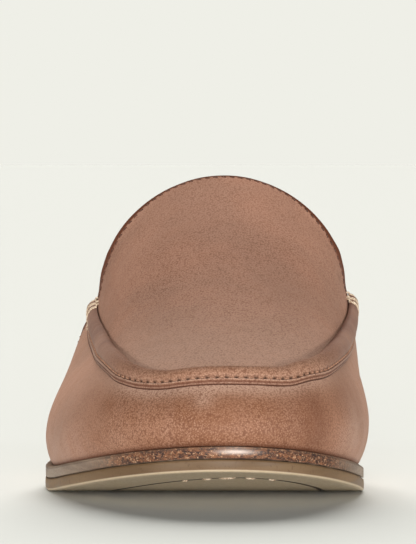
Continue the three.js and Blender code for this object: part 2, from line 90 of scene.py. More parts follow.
# Outline of the sole: share of the length, then half widths as shares of the ball width
SOLE_OUTLINE = table(
    "at lateral medial",
    (0.0, 0.408, 0.389),
    (0.076, 0.439, 0.397),
    (0.134, 0.464, 0.404),
    (0.21, 0.51, 0.421),
    (0.29, 0.55, 0.435),
    (0.37, 0.565, 0.42),
    (0.458, 0.543, 0.37),
    (0.553, 0.487, 0.32),
    (0.63, 0.434, 0.301),
    (0.706, 0.391, 0.302),
    (0.782, 0.366, 0.317),
    (0.859, 0.358, 0.333),
    (0.935, 0.354, 0.339),
    (1.0, 0.353, 0.34),
)

# Underside behind the ball: rise as a share of the heel height
SHANK_LINE = table(
    "at rise",
    (0.36, 0),
    (0.4, 0),
    (0.46, 0.065),
    (0.53, 0.25),
    (0.61, 0.51),
    (0.69, 0.74),
    (0.77, 0.895),
    (0.85, 0.97),
    (0.92, 1),
    (1.0, 1.01),
)
TOE_SPRING_END = 0.313
TOE_SPRING_POWER = 1.5

# Form of the upper from the apron's front, 0, to the throat, 1, and on behind it. Heights are shares
# of the instep height and widths are shares of the ball width.
UPPER_FORM = table(
    "at seam_lateral seam_medial crown apron_lateral apron_medial bulge_lateral bulge_medial fullness",
    (0, 0.247, 0.247, 0, 0.245, 0.25, 0.029, 0.029, 1.05),
    (0.045, 0.24, 0.253, 0.03, 0.256, 0.26, 0.03, 0.03, 1.05),
    (0.09, 0.25, 0.277, 0.043, 0.27, 0.264, 0.03, 0.032, 1.07),
    (0.165, 0.281, 0.304, 0.063, 0.294, 0.282, 0.03, 0.034, 1.1),
    (0.3, 0.335, 0.355, 0.099, 0.331, 0.323, 0.03, 0.038, 1.16),
    (0.44, 0.376, 0.395, 0.157, 0.358, 0.35, 0.032, 0.042, 1.24),
    (0.62, 0.411, 0.434, 0.256, 0.376, 0.373, 0.034, 0.045, 1.36),
    (0.8, 0.434, 0.457, 0.378, 0.39, 0.388, 0.034, 0.046, 1.56),
    (1, 0.47, 0.492, 0.521, 0.41, 0.403, 0.033, 0.046, 1.83),
    (1.16, 0.517, 0.549, 0.582, 0.418, 0.405, 0.03, 0.04, 1.58),
    (1.345, 0.54, 0.574, 0.63, 0.422, 0.408, 0.026, 0.033, 1.52),
    (1.56, 0.55, 0.584, 0.67, 0.423, 0.409, 0.022, 0.028, 1.5),
)

# Topline from the throat, 0, to the quarter's end, 1: height as a share of the instep height
TOPLINE = table(
    "at height",
    (0, 1),
    (0.1, 0.7),
    (0.2, 0.505),
    (0.35, 0.385),
    (0.5, 0.29),
    (0.65, 0.2),
    (0.8, 0.115),
    (0.92, 0.045),
    (1, 0),
)

WALL_SWELL = 0.8
LEAN_SOFTNESS = 4
TIP_SOFTNESS = 0.2
LAST_STATION = 1.04 * QUARTER_LENGTH
SEAM_GIRTH = 10 / 18  # share of the half girth, from the middle line to the seam
LATERAL = -1
MEDIAL = 1
MM = 0.001


def table_column(rows, name):
    """A smooth curve through one column of a table, straight beyond its ends."""
    x, y = rows["at"], rows[name]
    step = np.diff(x)
    chord = np.diff(y) / step
    slopes = np.empty_like(y)
    slopes[0] = chord[0]
    slopes[-1] = chord[-1]
    slopes[1:-1] = (chord[:-1] * step[1:] + chord[1:] * step[:-1]) / (step[:-1] + step[1:])

    def value(at):
        at = np.asarray(at, float)
        i = np.clip(np.searchsorted(x, at) - 1, 0, len(step) - 1)
        t = np.clip((at - x[i]) / step[i], 0, 1)
        rest = 1 - t
        inside = y[i] * (1 + 2 * t) * rest**2 + y[i + 1] * (1 + 2 * rest) * t**2
        inside = inside + step[i] * t * rest * (slopes[i] * rest - slopes[i + 1] * t)
        beyond = slopes[0] * np.minimum(at - x[0], 0) + slopes[-1] * np.maximum(at - x[-1], 0)
        return inside + beyond

    return value


def sided_column(rows, name):
    """A table's lateral or medial column, by the sign of side."""
    lateral = table_column(rows, name + "lateral")
    medial = table_column(rows, name + "medial")
    return lambda side, at: np.where(np.asarray(side) < 0, lateral(at), medial(at))


outline = sided_column(SOLE_OUTLINE, "")
seam_rise = sided_column(UPPER_FORM, "seam_")
apron_width = sided_column(UPPER_FORM, "apron_")
wall_bulge = sided_column(UPPER_FORM, "bulge_")
crown_rise = table_column(UPPER_FORM, "crown")
arch_fullness = table_column(UPPER_FORM, "fullness")
shank_rise = table_column(SHANK_LINE, "rise")
topline_height = table_column(TOPLINE, "height")


def smoothstep(value, start, end):
    t = np.clip((np.asarray(value, float) - start) / (end - start), 0, 1)
    return t * t * (3 - 2 * t)


def hill(value, width):
    """1 at zero, falling smoothly to nothing about two widths away."""
    return np.exp(-((np.asarray(value, float) / width) ** 2))


def side_of(value):
    return np.where(np.asarray(value) < 0, LATERAL, MEDIAL)


def round_end(distance, round_form):
    left = np.clip(1 - distance / round_form["length"], 0, 1)
    return (1 - left ** round_form["power"]) ** (1 / round_form["power"])


def sole_half_width(side, s):
    ends = round_end(s, TOE_ROUND) * round_end(SOLE_LENGTH - s, HEEL_ROUND)
    return BALL_WIDTH * outline(side, s / SOLE_LENGTH) * ends


def edge_point(turn):
    """Point of the sole's edge: turn is 0 at the toe, under 0 laterally and PI at the heel."""
    wrapped = (np.asarray(turn, float) + np.pi) % (2 * np.pi) - np.pi
    side = side_of(wrapped)
    s = SOLE_LENGTH * (1 - np.cos(wrapped)) / 2
    return side * sole_half_width(side, s), s


def turn_at(side, s):
    return side * np.arccos(1 - 2 * np.clip(s / SOLE_LENGTH, 0, 1))


TURN_STEP = 0.004


def edge_normal(turn):
    before_x, before_s = edge_point(turn - TURN_STEP)
    after_x, after_s = edge_point(turn + TURN_STEP)
    length = np.hypot(after_x - before_x, after_s - before_s)
    return (after_s - before_s) / length, -(after_x - before_x) / length


def inset_point(turn, inset):
    x, s = edge_point(turn)
    normal_x, normal_s = edge_normal(turn)
    return x - normal_x * inset, s - normal_s * inset


def outsole_bottom(s):
    spring_end = TOE_SPRING_END * SOLE_LENGTH
    spring = TOE_SPRING * np.clip(1 - s / spring_end, 0, None) ** TOE_SPRING_POWER
    share = s / SOLE_LENGTH
    shank = np.where(share < SHANK_LINE["at"][1], 0, HEEL_HEIGHT * shank_rise(share))
    return spring + shank


def outsole_top(s):
    return outsole_bottom(s) + OUTSOLE_THICKNESS


def midsole_bottom(s):
    return outsole_top(s) + CONTACT_GAP


def midsole_top(s):
    return midsole_bottom(s) + MIDSOLE_THICKNESS


def feather_line(s):
    return midsole_top(s) + CONTACT_GAP


def back_from_tip(row, tip):
    grown = np.hypot(row, TIP_SOFTNESS) - TIP_SOFTNESS
    whole = math.hypot(1, TIP_SOFTNESS) - TIP_SOFTNESS
    return tip + (LAST_STATION - tip) * (grown / whole)


def along_apron(s):
    return (s - APRON_SETBACK) / (VAMP_LENGTH - APRON_SETBACK)


def seam_point(side, s):
    share = along_apron(s)
    half_width = BALL_WIDTH * apron_width(side, share) * round_end(s - APRON_SETBACK, APRON_ROUND)
    return side * half_width, feather_line(s) + INSTEP_HEIGHT * seam_rise(side, share)


def ridge_height(s):
    share = along_apron(s)
    seams = (seam_rise(LATERAL, share) + seam_rise(MEDIAL, share)) / 2
    return feather_line(s) + INSTEP_HEIGHT * (seams + crown_rise(share))


def wall_point(side, row, up):
    """Side wall of the upper: up is 0 at the midsole and 1 at the seam."""
    turn = turn_at(side, back_from_tip(row, 0))
    foot_x, foot_s = inset_point(turn, WELT_MARGIN)
    normal_x, normal_s = edge_normal(turn)
    seam_s = back_from_tip(row, APRON_SETBACK)
    seam_x, seam_z = seam_point(side, seam_s)
    outward = (seam_x - foot_x) * normal_x + (seam_s - foot_s) * normal_s
    lean = up + up * (1 - up) * outward / np.hypot(outward, LEAN_SOFTNESS)
    swell = np.sin(np.pi * up**WALL_SWELL)
    out = outward * lean + BALL_WIDTH * wall_bulge(side, along_apron(seam_s)) * swell
    x = foot_x + (seam_x - foot_x - outward * normal_x) * up + normal_x * out
    s = foot_s + (seam_s - foot_s - outward * normal_s) * up + normal_s * out
    foot_z = feather_line(foot_s)
    return np.stack([x, s, foot_z + (seam_z - foot_z) * up], axis=-1)


def apron_point(side, row, across):
    """Apron of the upper: across is 0 on the middle line and 1 at the seam."""
    s = back_from_tip(row, APRON_SETBACK)
    seam_x, seam_z = seam_point(side, s)
    angle = across * np.pi / 2
    arch = np.clip(np.cos(angle), 0, 1) ** (2 / arch_fullness(along_apron(s)))
    return np.stack([seam_x * np.sin(angle), s, seam_z + (ridge_height(s) - seam_z) * arch], axis=-1)


def last_point(row, girth):
    """Outer face of the upper: girth runs from -1, the lateral foot, over the apron to 1."""
    row, girth = np.broadcast_arrays(np.asarray(row, float), np.asarray(girth, float))
    side = side_of(girth)
    share = np.abs(girth)
    apron = apron_point(side, row, np.minimum(share / SEAM_GIRTH, 1))
    wall = wall_point(side, row, np.clip((1 - share) / (1 - SEAM_GIRTH), 0, 1))
    return np.where((share <= SEAM_GIRTH)[..., None], apron, wall)


def topline_at(s):
    share = (s - VAMP_LENGTH) / (QUARTER_LENGTH - VAMP_LENGTH)
    return feather_line(s) + INSTEP_HEIGHT * topline_height(share)


FIRST_TOPLINE_ROW = 0.3
HALVINGS = 40


def topline_row(girth):
    """Row at which the upper's face meets the topline, found by halving."""
    girth = np.asarray(girth, float)
    low = np.full_like(girth, FIRST_TOPLINE_ROW)
    high = np.ones_like(girth)
    for _ in range(HALVINGS):
        middle = (low + high) / 2
        point = last_point(middle, girth)
        inside = point[..., 2] < topline_at(point[..., 1])
        low = np.where(inside, middle, low)
        high = np.where(inside, high, middle)
    return (low + high) / 2


ROW_STEP = 0.002
GIRTH_STEP = 0.004


def unit(vectors):
    return vectors / np.maximum(np.linalg.norm(vectors, axis=-1, keepdims=True), 1e-12)


def lengths(vectors):
    return np.linalg.norm(vectors, axis=-1)


def dot(one, other):
    return np.sum(one * other, axis=-1, keepdims=True)


def distances(line):
    """How far each point of a line lies from its start, along it."""
    return np.concatenate([[0], np.cumsum(lengths(np.diff(line, axis=0)))])


def pick(place, along, values):
    """Points or directions along a line, read between its own ones."""
    return np.stack([np.interp(place, along, values[:, k]) for k in range(3)], axis=-1)


def row_speed(row, girth):
    """Millimetres along the face for one unit of row."""
    ahead = last_point(row + ROW_STEP, girth)
    behind = last_point(row - ROW_STEP, girth)
    return lengths(ahead - behind) / (2 * ROW_STEP)


def face_normal(row, girth):
    """Direction square to the upper's face, out or in."""
    along = last_point(row + ROW_STEP, girth) - last_point(row - ROW_STEP, girth)
    across = last_point(row, girth + GIRTH_STEP) - last_point(row, girth - GIRTH_STEP)
    return unit(np.cross(across, along))


# Meshes

# Across the shoe, the middle of the box lies beside the line between toe and heel
outsole_edge = edge_point(np.linspace(-np.pi, np.pi, 721))[0]
ORIGIN = np.array([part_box("outsole")[0].x / MM - outsole_edge.min(), -SOLE_LENGTH / 2, 0])


def to_frame(points):
    return (np.asarray(points) + ORIGIN) * MM


LATTICE_MIX = np.array([12.9898, 78.233, 37.719])  # any uneven numbers scatter the lattice's values
LATTICE_SPREAD = 43758.5453


def value_noise(points, cell, seed):
    """Smooth noise from -1 to 1, with its bumps about a cell apart."""
    scaled = np.asarray(points) / cell
    base = np.floor(scaled)
    part = scaled - base
    part = part * part * (3 - 2 * part)
    total = 0
    for corner in np.ndindex(2, 2, 2):
        lattice = base + corner
        mixed = np.sin(lattice @ LATTICE_MIX + seed) * LATTICE_SPREAD
        weight = np.prod(np.where(corner, part, 1 - part), axis=-1)
        total = total + weight * (mixed - np.floor(mixed))
    return 2 * total - 1


def rough_noise(points, cell, seed, octaves=3):
    total = sum(value_noise(points, cell / 2**k, seed + k) / 2**k for k in range(octaves))
    return total / sum(1 / 2**k for k in range(octaves))


def grid_quads(rows, columns):
    """Quads of a grid of points that lie row by row."""
    i, j = np.meshgrid(np.arange(rows - 1), np.arange(columns - 1), indexing="ij")
    a = i * columns + j
    return np.stack([a, a + 1, a + columns + 1, a + columns], axis=-1).reshape(-1, 4)


def add_object(name, data):
    made = bpy.data.objects.new(name, data)
    bpy.context.scene.collection.objects.link(made)
    return made


def make_mesh(name, points, faces, material, paints=None, sharp=None):
    """A piece from points in millimetres. Points that coincide are merged. paints are numbers for
    each point that the material reads."""
    points = np.asarray(points, float).reshape(-1, 3)
    places = np.round(points, 3)
    _, first, index = np.unique(places, axis=0, return_index=True, return_inverse=True)
    corners = [list(dict.fromkeys(face)) for face in index.ravel()[np.asarray(faces)].tolist()]
    kept = [face for face in corners if len(face) > 2]
    mesh = bpy.data.meshes.new(name)
    mesh.from_pydata(to_frame(points[first]).tolist(), [], kept)
    for paint, values in (paints or {}).items():
        numbers = mesh.attributes.new(paint, "FLOAT", "POINT")
        numbers.data.foreach_set("value", np.asarray(values, np.float32).ravel()[first])
    shaped = bmesh.new()
    shaped.from_mesh(mesh)
    bmesh.ops.recalc_face_normals(shaped, faces=shaped.faces)
    shaped.to_mesh(mesh)
    shaped.free()
    mesh.shade_smooth()
    if sharp:
        mesh.set_sharp_from_angle(angle=math.radians(sharp))
    mesh.materials.append(material)
    return add_object(name, mesh)


TUBE_SIDES = 8
TUBE_HELPER = np.array([0.3, 0.2, 1.0])  # a direction that no thread runs along


def tube(path, radius):
    """A closed round tube along a path, with its radius at each point: its points and quads."""
    path = np.asarray(path, float)
    radius = np.broadcast_to(radius, len(path))
    along = unit(np.gradient(path, axis=0))
    right = unit(np.cross(along, TUBE_HELPER))
    up = np.cross(right, along)
    angle = np.arange(TUBE_SIDES) * 2 * np.pi / TUBE_SIDES
    circle = np.cos(angle)[:, None] * right[:, None] + np.sin(angle)[:, None] * up[:, None]
    points = path[:, None] + circle * radius[:, None, None]
    ends = np.stack([np.repeat(path[:1], TUBE_SIDES, 0), np.repeat(path[-1:], TUBE_SIDES, 0)])
    points = np.concatenate([ends[:1], points, ends[1:]])
    points = np.concatenate([points, points[:, :1]], axis=1)
    return points.reshape(-1, 3), grid_quads(points.shape[0], TUBE_SIDES + 1)


def make_tubes(name, paths, radii, material):
    """Many tubes joined in one mesh."""
    points, faces, count = [], [], 0
    for path, radius in zip(paths, radii):
        some_points, some_faces = tube(path, radius)
        points.append(some_points)
        faces.append(some_faces + count)
        count += len(some_points)
    return make_mesh(name, np.concatenate(points), np.concatenate(faces), material)


# Materials


def srgb(red, green, blue):
    """A colour of the photograph's scale, 0 to 255, as a linear one."""
    values = np.array([red, green, blue]) / 255
    linear = np.where(values <= 0.04045, values / 12.92, ((values + 0.055) / 1.055) ** 2.4)
    return (*linear.tolist(), 1)


class Finish:
    """A material's nodes, each made by one short call that gives back its output."""

    def __init__(self, name, roughness, specular):
        self.material = bpy.data.materials.new(name)
        self.material.use_nodes = True
        self.tree = self.material.node_tree
        self.shader = self.tree.nodes["Principled BSDF"]
        self.shader.inputs["Roughness"].default_value = roughness
        self.shader.inputs["Specular IOR Level"].default_value = specular
        self.place = self.make("ShaderNodeTexCoord", {}).outputs["Object"]

    def feed(self, socket, value):
        """Link a node's output to a socket, or set a plain value on it."""
        if isinstance(value, bpy.types.NodeSocket):
            self.tree.links.new(value, socket)
        else:
            socket.default_value = value

    def make(self, kind, inputs, **settings):
        node = self.tree.nodes.new(kind)
        for name, value in settings.items():
            setattr(node, name, value)
        for name, value in inputs.items():
            self.feed(node.inputs[name], value)
        return node

    def stretched(self, x, y, z):
        """Places with each axis scaled."""
        return self.make("ShaderNodeMapping", {"Vector": self.place, "Scale": (x, y, z)}).outputs[0]

    def noise(self, size, detail=3.0, rough=0.5, place=None, distortion=0.0):
        """Noise with bumps of a size in millimetres."""
        inputs = {
            "Vector": place or self.place,
            "Scale": 1 / (size * MM),
            "Detail": detail,
            "Roughness": rough,
            "Distortion": distortion,
        }
        return self.make("ShaderNodeTexNoise", inputs).outputs["Fac"]

    def cells(self, size, place=None):
        """Distance from the middle of cells of a size in millimetres."""
        inputs = {"Vector": place or self.place, "Scale": 1 / (size * MM)}
        return self.make("ShaderNodeTexVoronoi", inputs).outputs["Distance"]

    def paint(self, name):
        return self.make("ShaderNodeAttribute", {}, attribute_name=name).outputs["Fac"]

    def ramp(self, value, low, high, start=0.0, end=1.0):
        """value from low to high, mapped to start and end, eased at both."""
        inputs = {"Value": value, "From Min": low, "From Max": high, "To Min": start, "To Max": end}
        node = self.make("ShaderNodeMapRange", inputs, interpolation_type="SMOOTHSTEP")
        return node.outputs["Result"]

    def maths(self, operation, one, other):
        return self.make("ShaderNodeMath", {0: one, 1: other}, operation=operation).outputs[0]

    def mix(self, amount, one, other, blend="MIX"):
        """Two colours, each a socket or a colour of the photograph's scale."""
        one, other = (srgb(*value) if isinstance(value, tuple) else value for value in (one, other))
        inputs = {0: amount, 6: one, 7: other}
        return self.make("ShaderNodeMix", inputs, data_type="RGBA", blend_type=blend).outputs[2]

    def spread(self, value, low, high, one, other):
        """From one colour to the other as value runs from low to high."""
        return self.mix(self.ramp(value, low, high), one, other)

    def coats(self, base, *coats):
        """The finish's colour: a base with coats over it, each an amount and a colour."""
        for amount, colour in coats:
            base = self.mix(amount, base, colour)
        self.feed(self.shader.inputs["Base Color"], base)

    def roughness(self, value):
        self.feed(self.shader.inputs["Roughness"], value)

    def bumps(self, *layers):
        """Bump layers, each a height, its depth in millimetres and its strength."""
        normal = None
        for height, depth, strength in layers:
            inputs = {"Height": height, "Distance": depth * MM, "Strength": strength}
            if normal is not None:
                inputs["Normal"] = normal
            normal = self.make("ShaderNodeBump", inputs).outputs["Normal"]
        self.tree.links.new(normal, self.shader.inputs["Normal"])


CELL_WARP = 0.0002  # metres by which the pebble's cells are pushed out of shape


def grained_calf(name, grey, pink, tan, orange):
    """Waxed, rubbed calf with a fine pebble, between greyish pink and orange brown."""
    f = Finish(name, 0.6, 0.2)
    clouds = f.noise(30, 3, 0.55)
    mottle = f.noise(5, 5, 0.62)
    rubbed = f.noise(13, 4, 0.6, f.stretched(1, 1, 0.3))
    pores = f.noise(0.42, 2, 0.6)
    cells = f.cells(0.5, f.mix(CELL_WARP, f.place, f.noise(0.7, 1), "ADD"))
    fine = f.noise(0.32, 1, 0.5)
    pebble = f.maths("ADD", f.maths("MULTIPLY", cells, 0.75), f.maths("MULTIPLY", fine, 0.45))
    grain = f.paint("grain")
    cool = f.spread(clouds, 0.38, 0.64, grey, pink)
    warm = f.spread(clouds, 0.3, 0.7, orange, tan)
    f.coats(
        f.mix(f.paint("warmth"), cool, warm),
        (f.ramp(mottle, 0.42, 0.72, 0, 0.15), tan),
        (f.ramp(rubbed, 0.45, 0.78, 0, 0.25), grey),
        # painted light where the paints put it
        (f.paint("light"), (194, 161, 141)),
        (f.maths("MULTIPLY", f.ramp(pebble, 0.55, 0.85, 0, 0.72), grain), (98, 58, 40)),
        (f.maths("MULTIPLY", f.ramp(pebble, 0.54, 0.34, 0, 0.28), grain), (210, 172, 146)),
        # painted shade where the paints put it, and darker places
        (f.paint("dark"), (84, 44, 28)),
        (f.paint("edge"), (96, 54, 36)),
        # painted shade in the stitch holes and under the roll's lower edge
        (f.paint("hole"), (36, 18, 10)),
    )
    f.roughness(f.ramp(mottle, 0.3, 0.75, 0.54, 0.7))
    f.bumps((clouds, 0.4, 0.2), (f.maths("MULTIPLY", pebble, grain), -0.16, 0.7), (pores, 0.05, 0.4))
    return f.material


def upper_leather():
    colours = [(160, 122, 103), (170, 127, 106), (147, 104, 80), (129, 86, 61)]
    return grained_calf("upper_leather", *colours)


def roll_leather():
    """The same calf, handled more: greyer along its top, with painted shade in its creases and holes.
    """
    colours = [(131, 102, 90), (155, 122, 105), (158, 119, 97), (144, 103, 79)]
    return grained_calf("roll_leather", *colours)


def lining_leather():
    """Smooth pale lining with small pores."""
    f = Finish("lining_leather", 0.62, 0.3)
    clouds = f.noise(26, 3, 0.5)
    pores = f.cells(0.8)
    base = f.spread(clouds, 0.35, 0.7, (196, 165, 134), (208, 180, 150))
    f.coats(base, (f.ramp(pores, 0.0, 0.22, 0.25, 0), (150, 116, 88)))
    f.bumps((clouds, 0.3, 0.25), (pores, 0.05, 0.35))
    return f.material


def insole_leather():
    """Vegetable-tanned sock: pale, a little darker where the foot presses."""
    f = Finish("insole_leather", 0.55, 0.35)
    clouds = f.noise(22, 4, 0.55)
    pores = f.cells(0.9)
    base = f.spread(clouds, 0.35, 0.7, (178, 142, 110), (194, 160, 128))
    in_pores = f.ramp(pores, 0.0, 0.22, 0.2, 0)
    f.coats(base, (f.paint("dark"), (150, 112, 82)), (in_pores, (120, 88, 62)))
    f.bumps((clouds, 0.3, 0.2), (pores, 0.05, 0.35))
    return f.material


def midsole_leather():
    """Burnished leather edge, rubbed open at the toe so that its dark and pale fibres show."""
    f = Finish("midsole_leather", 0.42, 0.5)
    fibres = f.noise(1.15, 5, 0.75, f.stretched(0.7, 0.7, 1.2), 0.6)
    flecks = f.noise(0.62, 3, 0.7, f.stretched(0.8, 0.8, 1.2), 0.4)
    streaks = f.noise(9, 4, 0.6, f.stretched(0.25, 0.25, 3))
    smooth = f.spread(streaks, 0.35, 0.68, (116, 96, 80), (150, 129, 109))
    smooth = f.mix(f.ramp(flecks, 0.56, 0.7, 0, 0.5), smooth, (86, 62, 46))
    torn = f.spread(fibres, 0.4, 0.6, (44, 18, 9), (124, 78, 48))
    torn = f.spread(flecks, 0.55, 0.66, torn, (186, 146, 112))
    worn = f.paint("worn")
    base = f.mix(worn, smooth, torn)
    # light paints the highlight on the toe's edge
    f.coats(base, (f.paint("dark"), (60, 36, 24)), (f.paint("light"), (214, 196, 184)))
    f.roughness(f.ramp(worn, 0, 1, 0.5, 0.75))
    f.bumps((fibres, 0.25, 0.6), (flecks, 0.12, 0.5))
    return f.material


def outsole_leather():
    """Pale oak-bark leather with a waxed edge and a smoother underside, paler partly by its own colour
    and partly by painted light.
    """
    f = Finish("outsole_leather", 0.55, 0.25)
    streaks = f.noise(12, 5, 0.6, f.stretched(0.3, 0.3, 3.5))
    speck = f.noise(1.1, 3, 0.6)
    pores = f.noise(0.45, 2, 0.6)
    edge = f.spread(streaks, 0.35, 0.7, (110, 86, 60), (132, 106, 77))
    edge = f.mix(f.ramp(speck, 0.55, 0.72, 0, 0.45), edge, (84, 60, 38))
    # The underside's colour is partly its own and partly painted light, raised to stand in for light
    # bounced under the toe.
    under = f.spread(speck, 0.35, 0.7, (222, 202, 172), (236, 218, 192))
    base = f.mix(f.paint("under"), edge, under)
    f.coats(base, (f.paint("dark"), (74, 52, 34)), (f.paint("light"), (205, 186, 156)))
    f.roughness(f.ramp(streaks, 0.3, 0.7, 0.42, 0.58))
    f.bumps((streaks, 0.12, 0.3), (pores, 0.04, 0.3))
    return f.material


def heel_leather():
    """Stacked leather lifts, each a little different in tone."""
    f = Finish("heel_leather", 0.42, 0.5)
    layers = f.noise(2.3, 2, 0.5, f.stretched(0.02, 0.02, 1))
    grain = f.noise(4, 5, 0.65, f.stretched(0.3, 0.3, 2.5))
    base = f.spread(layers, 0.3, 0.7, (98, 71, 52), (130, 98, 74))
    grained = f.ramp(grain, 0.4, 0.7, 0, 0.5)
    f.coats(base, (grained, (84, 58, 42)), (f.paint("dark"), (44, 28, 20)))
    f.roughness(f.ramp(grain, 0.3, 0.7, 0.36, 0.5))
    f.bumps((grain, 0.12, 0.35))
    return f.material


def lift_rubber():
    """Hard dark rubber with a fine moulded grain."""
    f = Finish("lift_rubber", 0.7, 0.35)
    f.coats(f.spread(f.noise(15, 3, 0.5), 0.35, 0.7, (62, 48, 39), (80, 64, 52)))
    f.bumps((f.noise(0.8, 3, 0.6), 0.06, 0.5))
    return f.material


def thread(name, dark, light):
    """Waxed thread with a fine uneven twist."""
    f = Finish(name, 0.5, 0.4)
    twist = f.noise(0.45, 2, 0.6)
    f.coats(f.spread(twist, 0.35, 0.65, dark, light))
    f.bumps((twist, 0.1, 0.5))
    return f.material


# The upper's wall

SHELL_THICKNESS = 1.2
BODY_ROWS = 104
BAND_ROWS = 10
BAND_WIDTH = 3.0
RIM_ROWS = 5
GIRTH_COLUMNS = 300


def grid_normals(points):
    """Outward normals of a grid whose first row is folded onto itself at the toe."""
    face = np.cross(points[1:, 1:] - points[:-1, :-1], points[1:, :-1] - points[:-1, 1:])
    normals = np.zeros_like(points)
    for rows in (slice(0, -1), slice(1, None)):
        for columns in (slice(0, -1), slice(1, None)):
            normals[rows, columns] += face
    tip = normals[0] + normals[0, ::-1]
    collapsed = lengths(points[0] - points[0, points.shape[1] // 2]) < 1e-6
    tip[collapsed] = normals[0, collapsed].sum(0)
    normals[0] = tip
    middle = normals[-1, points.shape[1] // 2]
    return unit(normals) * np.sign(middle[2])


def wall_grid(girths, rows, setback):
    """Outer face from the toe to a distance before the topline, with close rows near it."""
    ends = topline_row(girths)
    speed = row_speed(ends, girths)
    last = ends - setback / speed
    band = ends - BAND_WIDTH / speed
    body = np.linspace(0, 1, rows + 1)[:, None] * band
    near = band + np.linspace(0, 1, BAND_ROWS + 1)[1:, None] * (last - band)
    row = np.concatenate([body, near])
    return row, last_point(row, girths[None, :])


# Creases of the apron and the wall: both ends, the depth, which is under 0 for a ridge, and the width
CREASES = table(
    "start_row start_girth end_row end_girth depth width",
    (0.70, 0.36, 0.79, 0.50, -0.35, 2.2),
    (0.66, 0.38, 0.74, 0.53, 0.35, 2.0),
    (0.72, -0.38, 0.80, -0.50, -0.35, 2.2),
    (0.66, -0.40, 0.75, -0.53, 0.3, 2.0),
    (0.55, 0.60, 0.70, 0.66, 0.3, 3.0),
    (0.52, -0.62, 0.68, -0.66, 0.3, 3.0),
)
DISH_DEPTH = 0.55
DISH_WIDTH = 0.07
UNEVENNESS = 0.16
RIM_FLARE = 0.75


def crease_depth(points):
    total = np.zeros(points.shape[:-1])
    share = np.linspace(0, 1, 9)
    for crease in CREASES:
        row = crease["start_row"] + (crease["end_row"] - crease["start_row"]) * share
        girth = crease["start_girth"] + (crease["end_girth"] - crease["start_girth"]) * share
        path = last_point(row, girth)
        nearest = np.full(total.shape, 1e9)
        fade = np.zeros(total.shape)
        for number, (one, other) in enumerate(zip(path[:-1], path[1:])):
            along = other - one
            t = np.clip((points - one) @ along / (along @ along), 0, 1)
            distance = lengths(points - one - t[..., None] * along)
            closer = distance < nearest
            nearest = np.where(closer, distance, nearest)
            fade = np.where(closer, np.sin(np.pi * (number + t) / (len(path) - 1)) ** 0.7, fade)
        total += crease["depth"] * hill(nearest, crease["width"]) * fade
    return total


def relief(points, row, girth):
    """How far the leather stands off its even form, outwards."""
    distance = np.abs(girth) - SEAM_GIRTH
    dish = DISH_DEPTH * hill((distance + 0.09) / DISH_WIDTH, 1) * smoothstep(row, 0.02, 0.2)
    uneven = UNEVENNESS * rough_noise(points, 14, 3)
    quiet = smoothstep(points[..., 2] - feather_line(points[..., 1]), 0.5, 8)
    return (uneven - dish - crease_depth(points)) * quiet + rim_flare(row, girth)


def rim_flare(row, girth):
    """The apron's edge turns outwards a little at both sides of the throat."""
    edge = topline_row(girth)
    to_edge = (edge - row) * row_speed(edge, girth)
    share = np.abs(girth)
    sides = smoothstep(share, 0.1, 0.34) * smoothstep(share, SEAM_GIRTH - 0.05, SEAM_GIRTH - 0.12)
    return RIM_FLARE * smoothstep(to_edge, 5.5, 0.3) * sides


def edge_distance(points):
    """Distance of points from the topline."""
    girths = np.linspace(-1, 1, 1200)
    line = last_point(topline_row(girths), girths)
    tree = kdtree.KDTree(len(line))
    for number, place in enumerate(line):
        tree.insert(place, number)
    tree.balance()
    flat = points.reshape(-1, 3)
    return np.array([tree.find(place)[2] for place in flat]).reshape(points.shape[:-1])


# Darker places, and paler places of painted light: where they are, their radius and strength, and how
# broken they are
SPOT_COLUMNS = "row girth radius strength even broken"
SPOTS = {
    "dark": table(SPOT_COLUMNS, (0.14, 0.8, 10, 0.7, 0.6, 0.6), (0.3, 0.78, 12, 0.16, 1, 0)),
    "light": table(
        SPOT_COLUMNS,
        (0.03, -0.7, 3, 0.35, 1, 0),
        (0.2, -0.85, 9, 0.3, 0.5, 1),
        (0.76, 0.43, 6, 0.28, 1, 0),
        (0.78, -0.44, 6, 0.25, 1, 0),
        (0.3, 0.9, 11, 0.4, 0.5, 1),
    ),
}


def spots(kind, points, ragged):
    """All places of a kind: strongest in their middles and falling smoothly from there."""
    total = 0
    for spot in SPOTS[kind]:
        distance = lengths(points - last_point(spot["row"], spot["girth"]))
        strength = spot["strength"] * (spot["even"] + spot["broken"] * ragged)
        total = total + strength * hill(distance, spot["radius"])
    return total


def rim_inset(girth, least, extra):
    """A distance from the topline, larger towards the sides of the throat."""
    return least + extra * smoothstep(np.abs(girth), 0.1, 0.5)


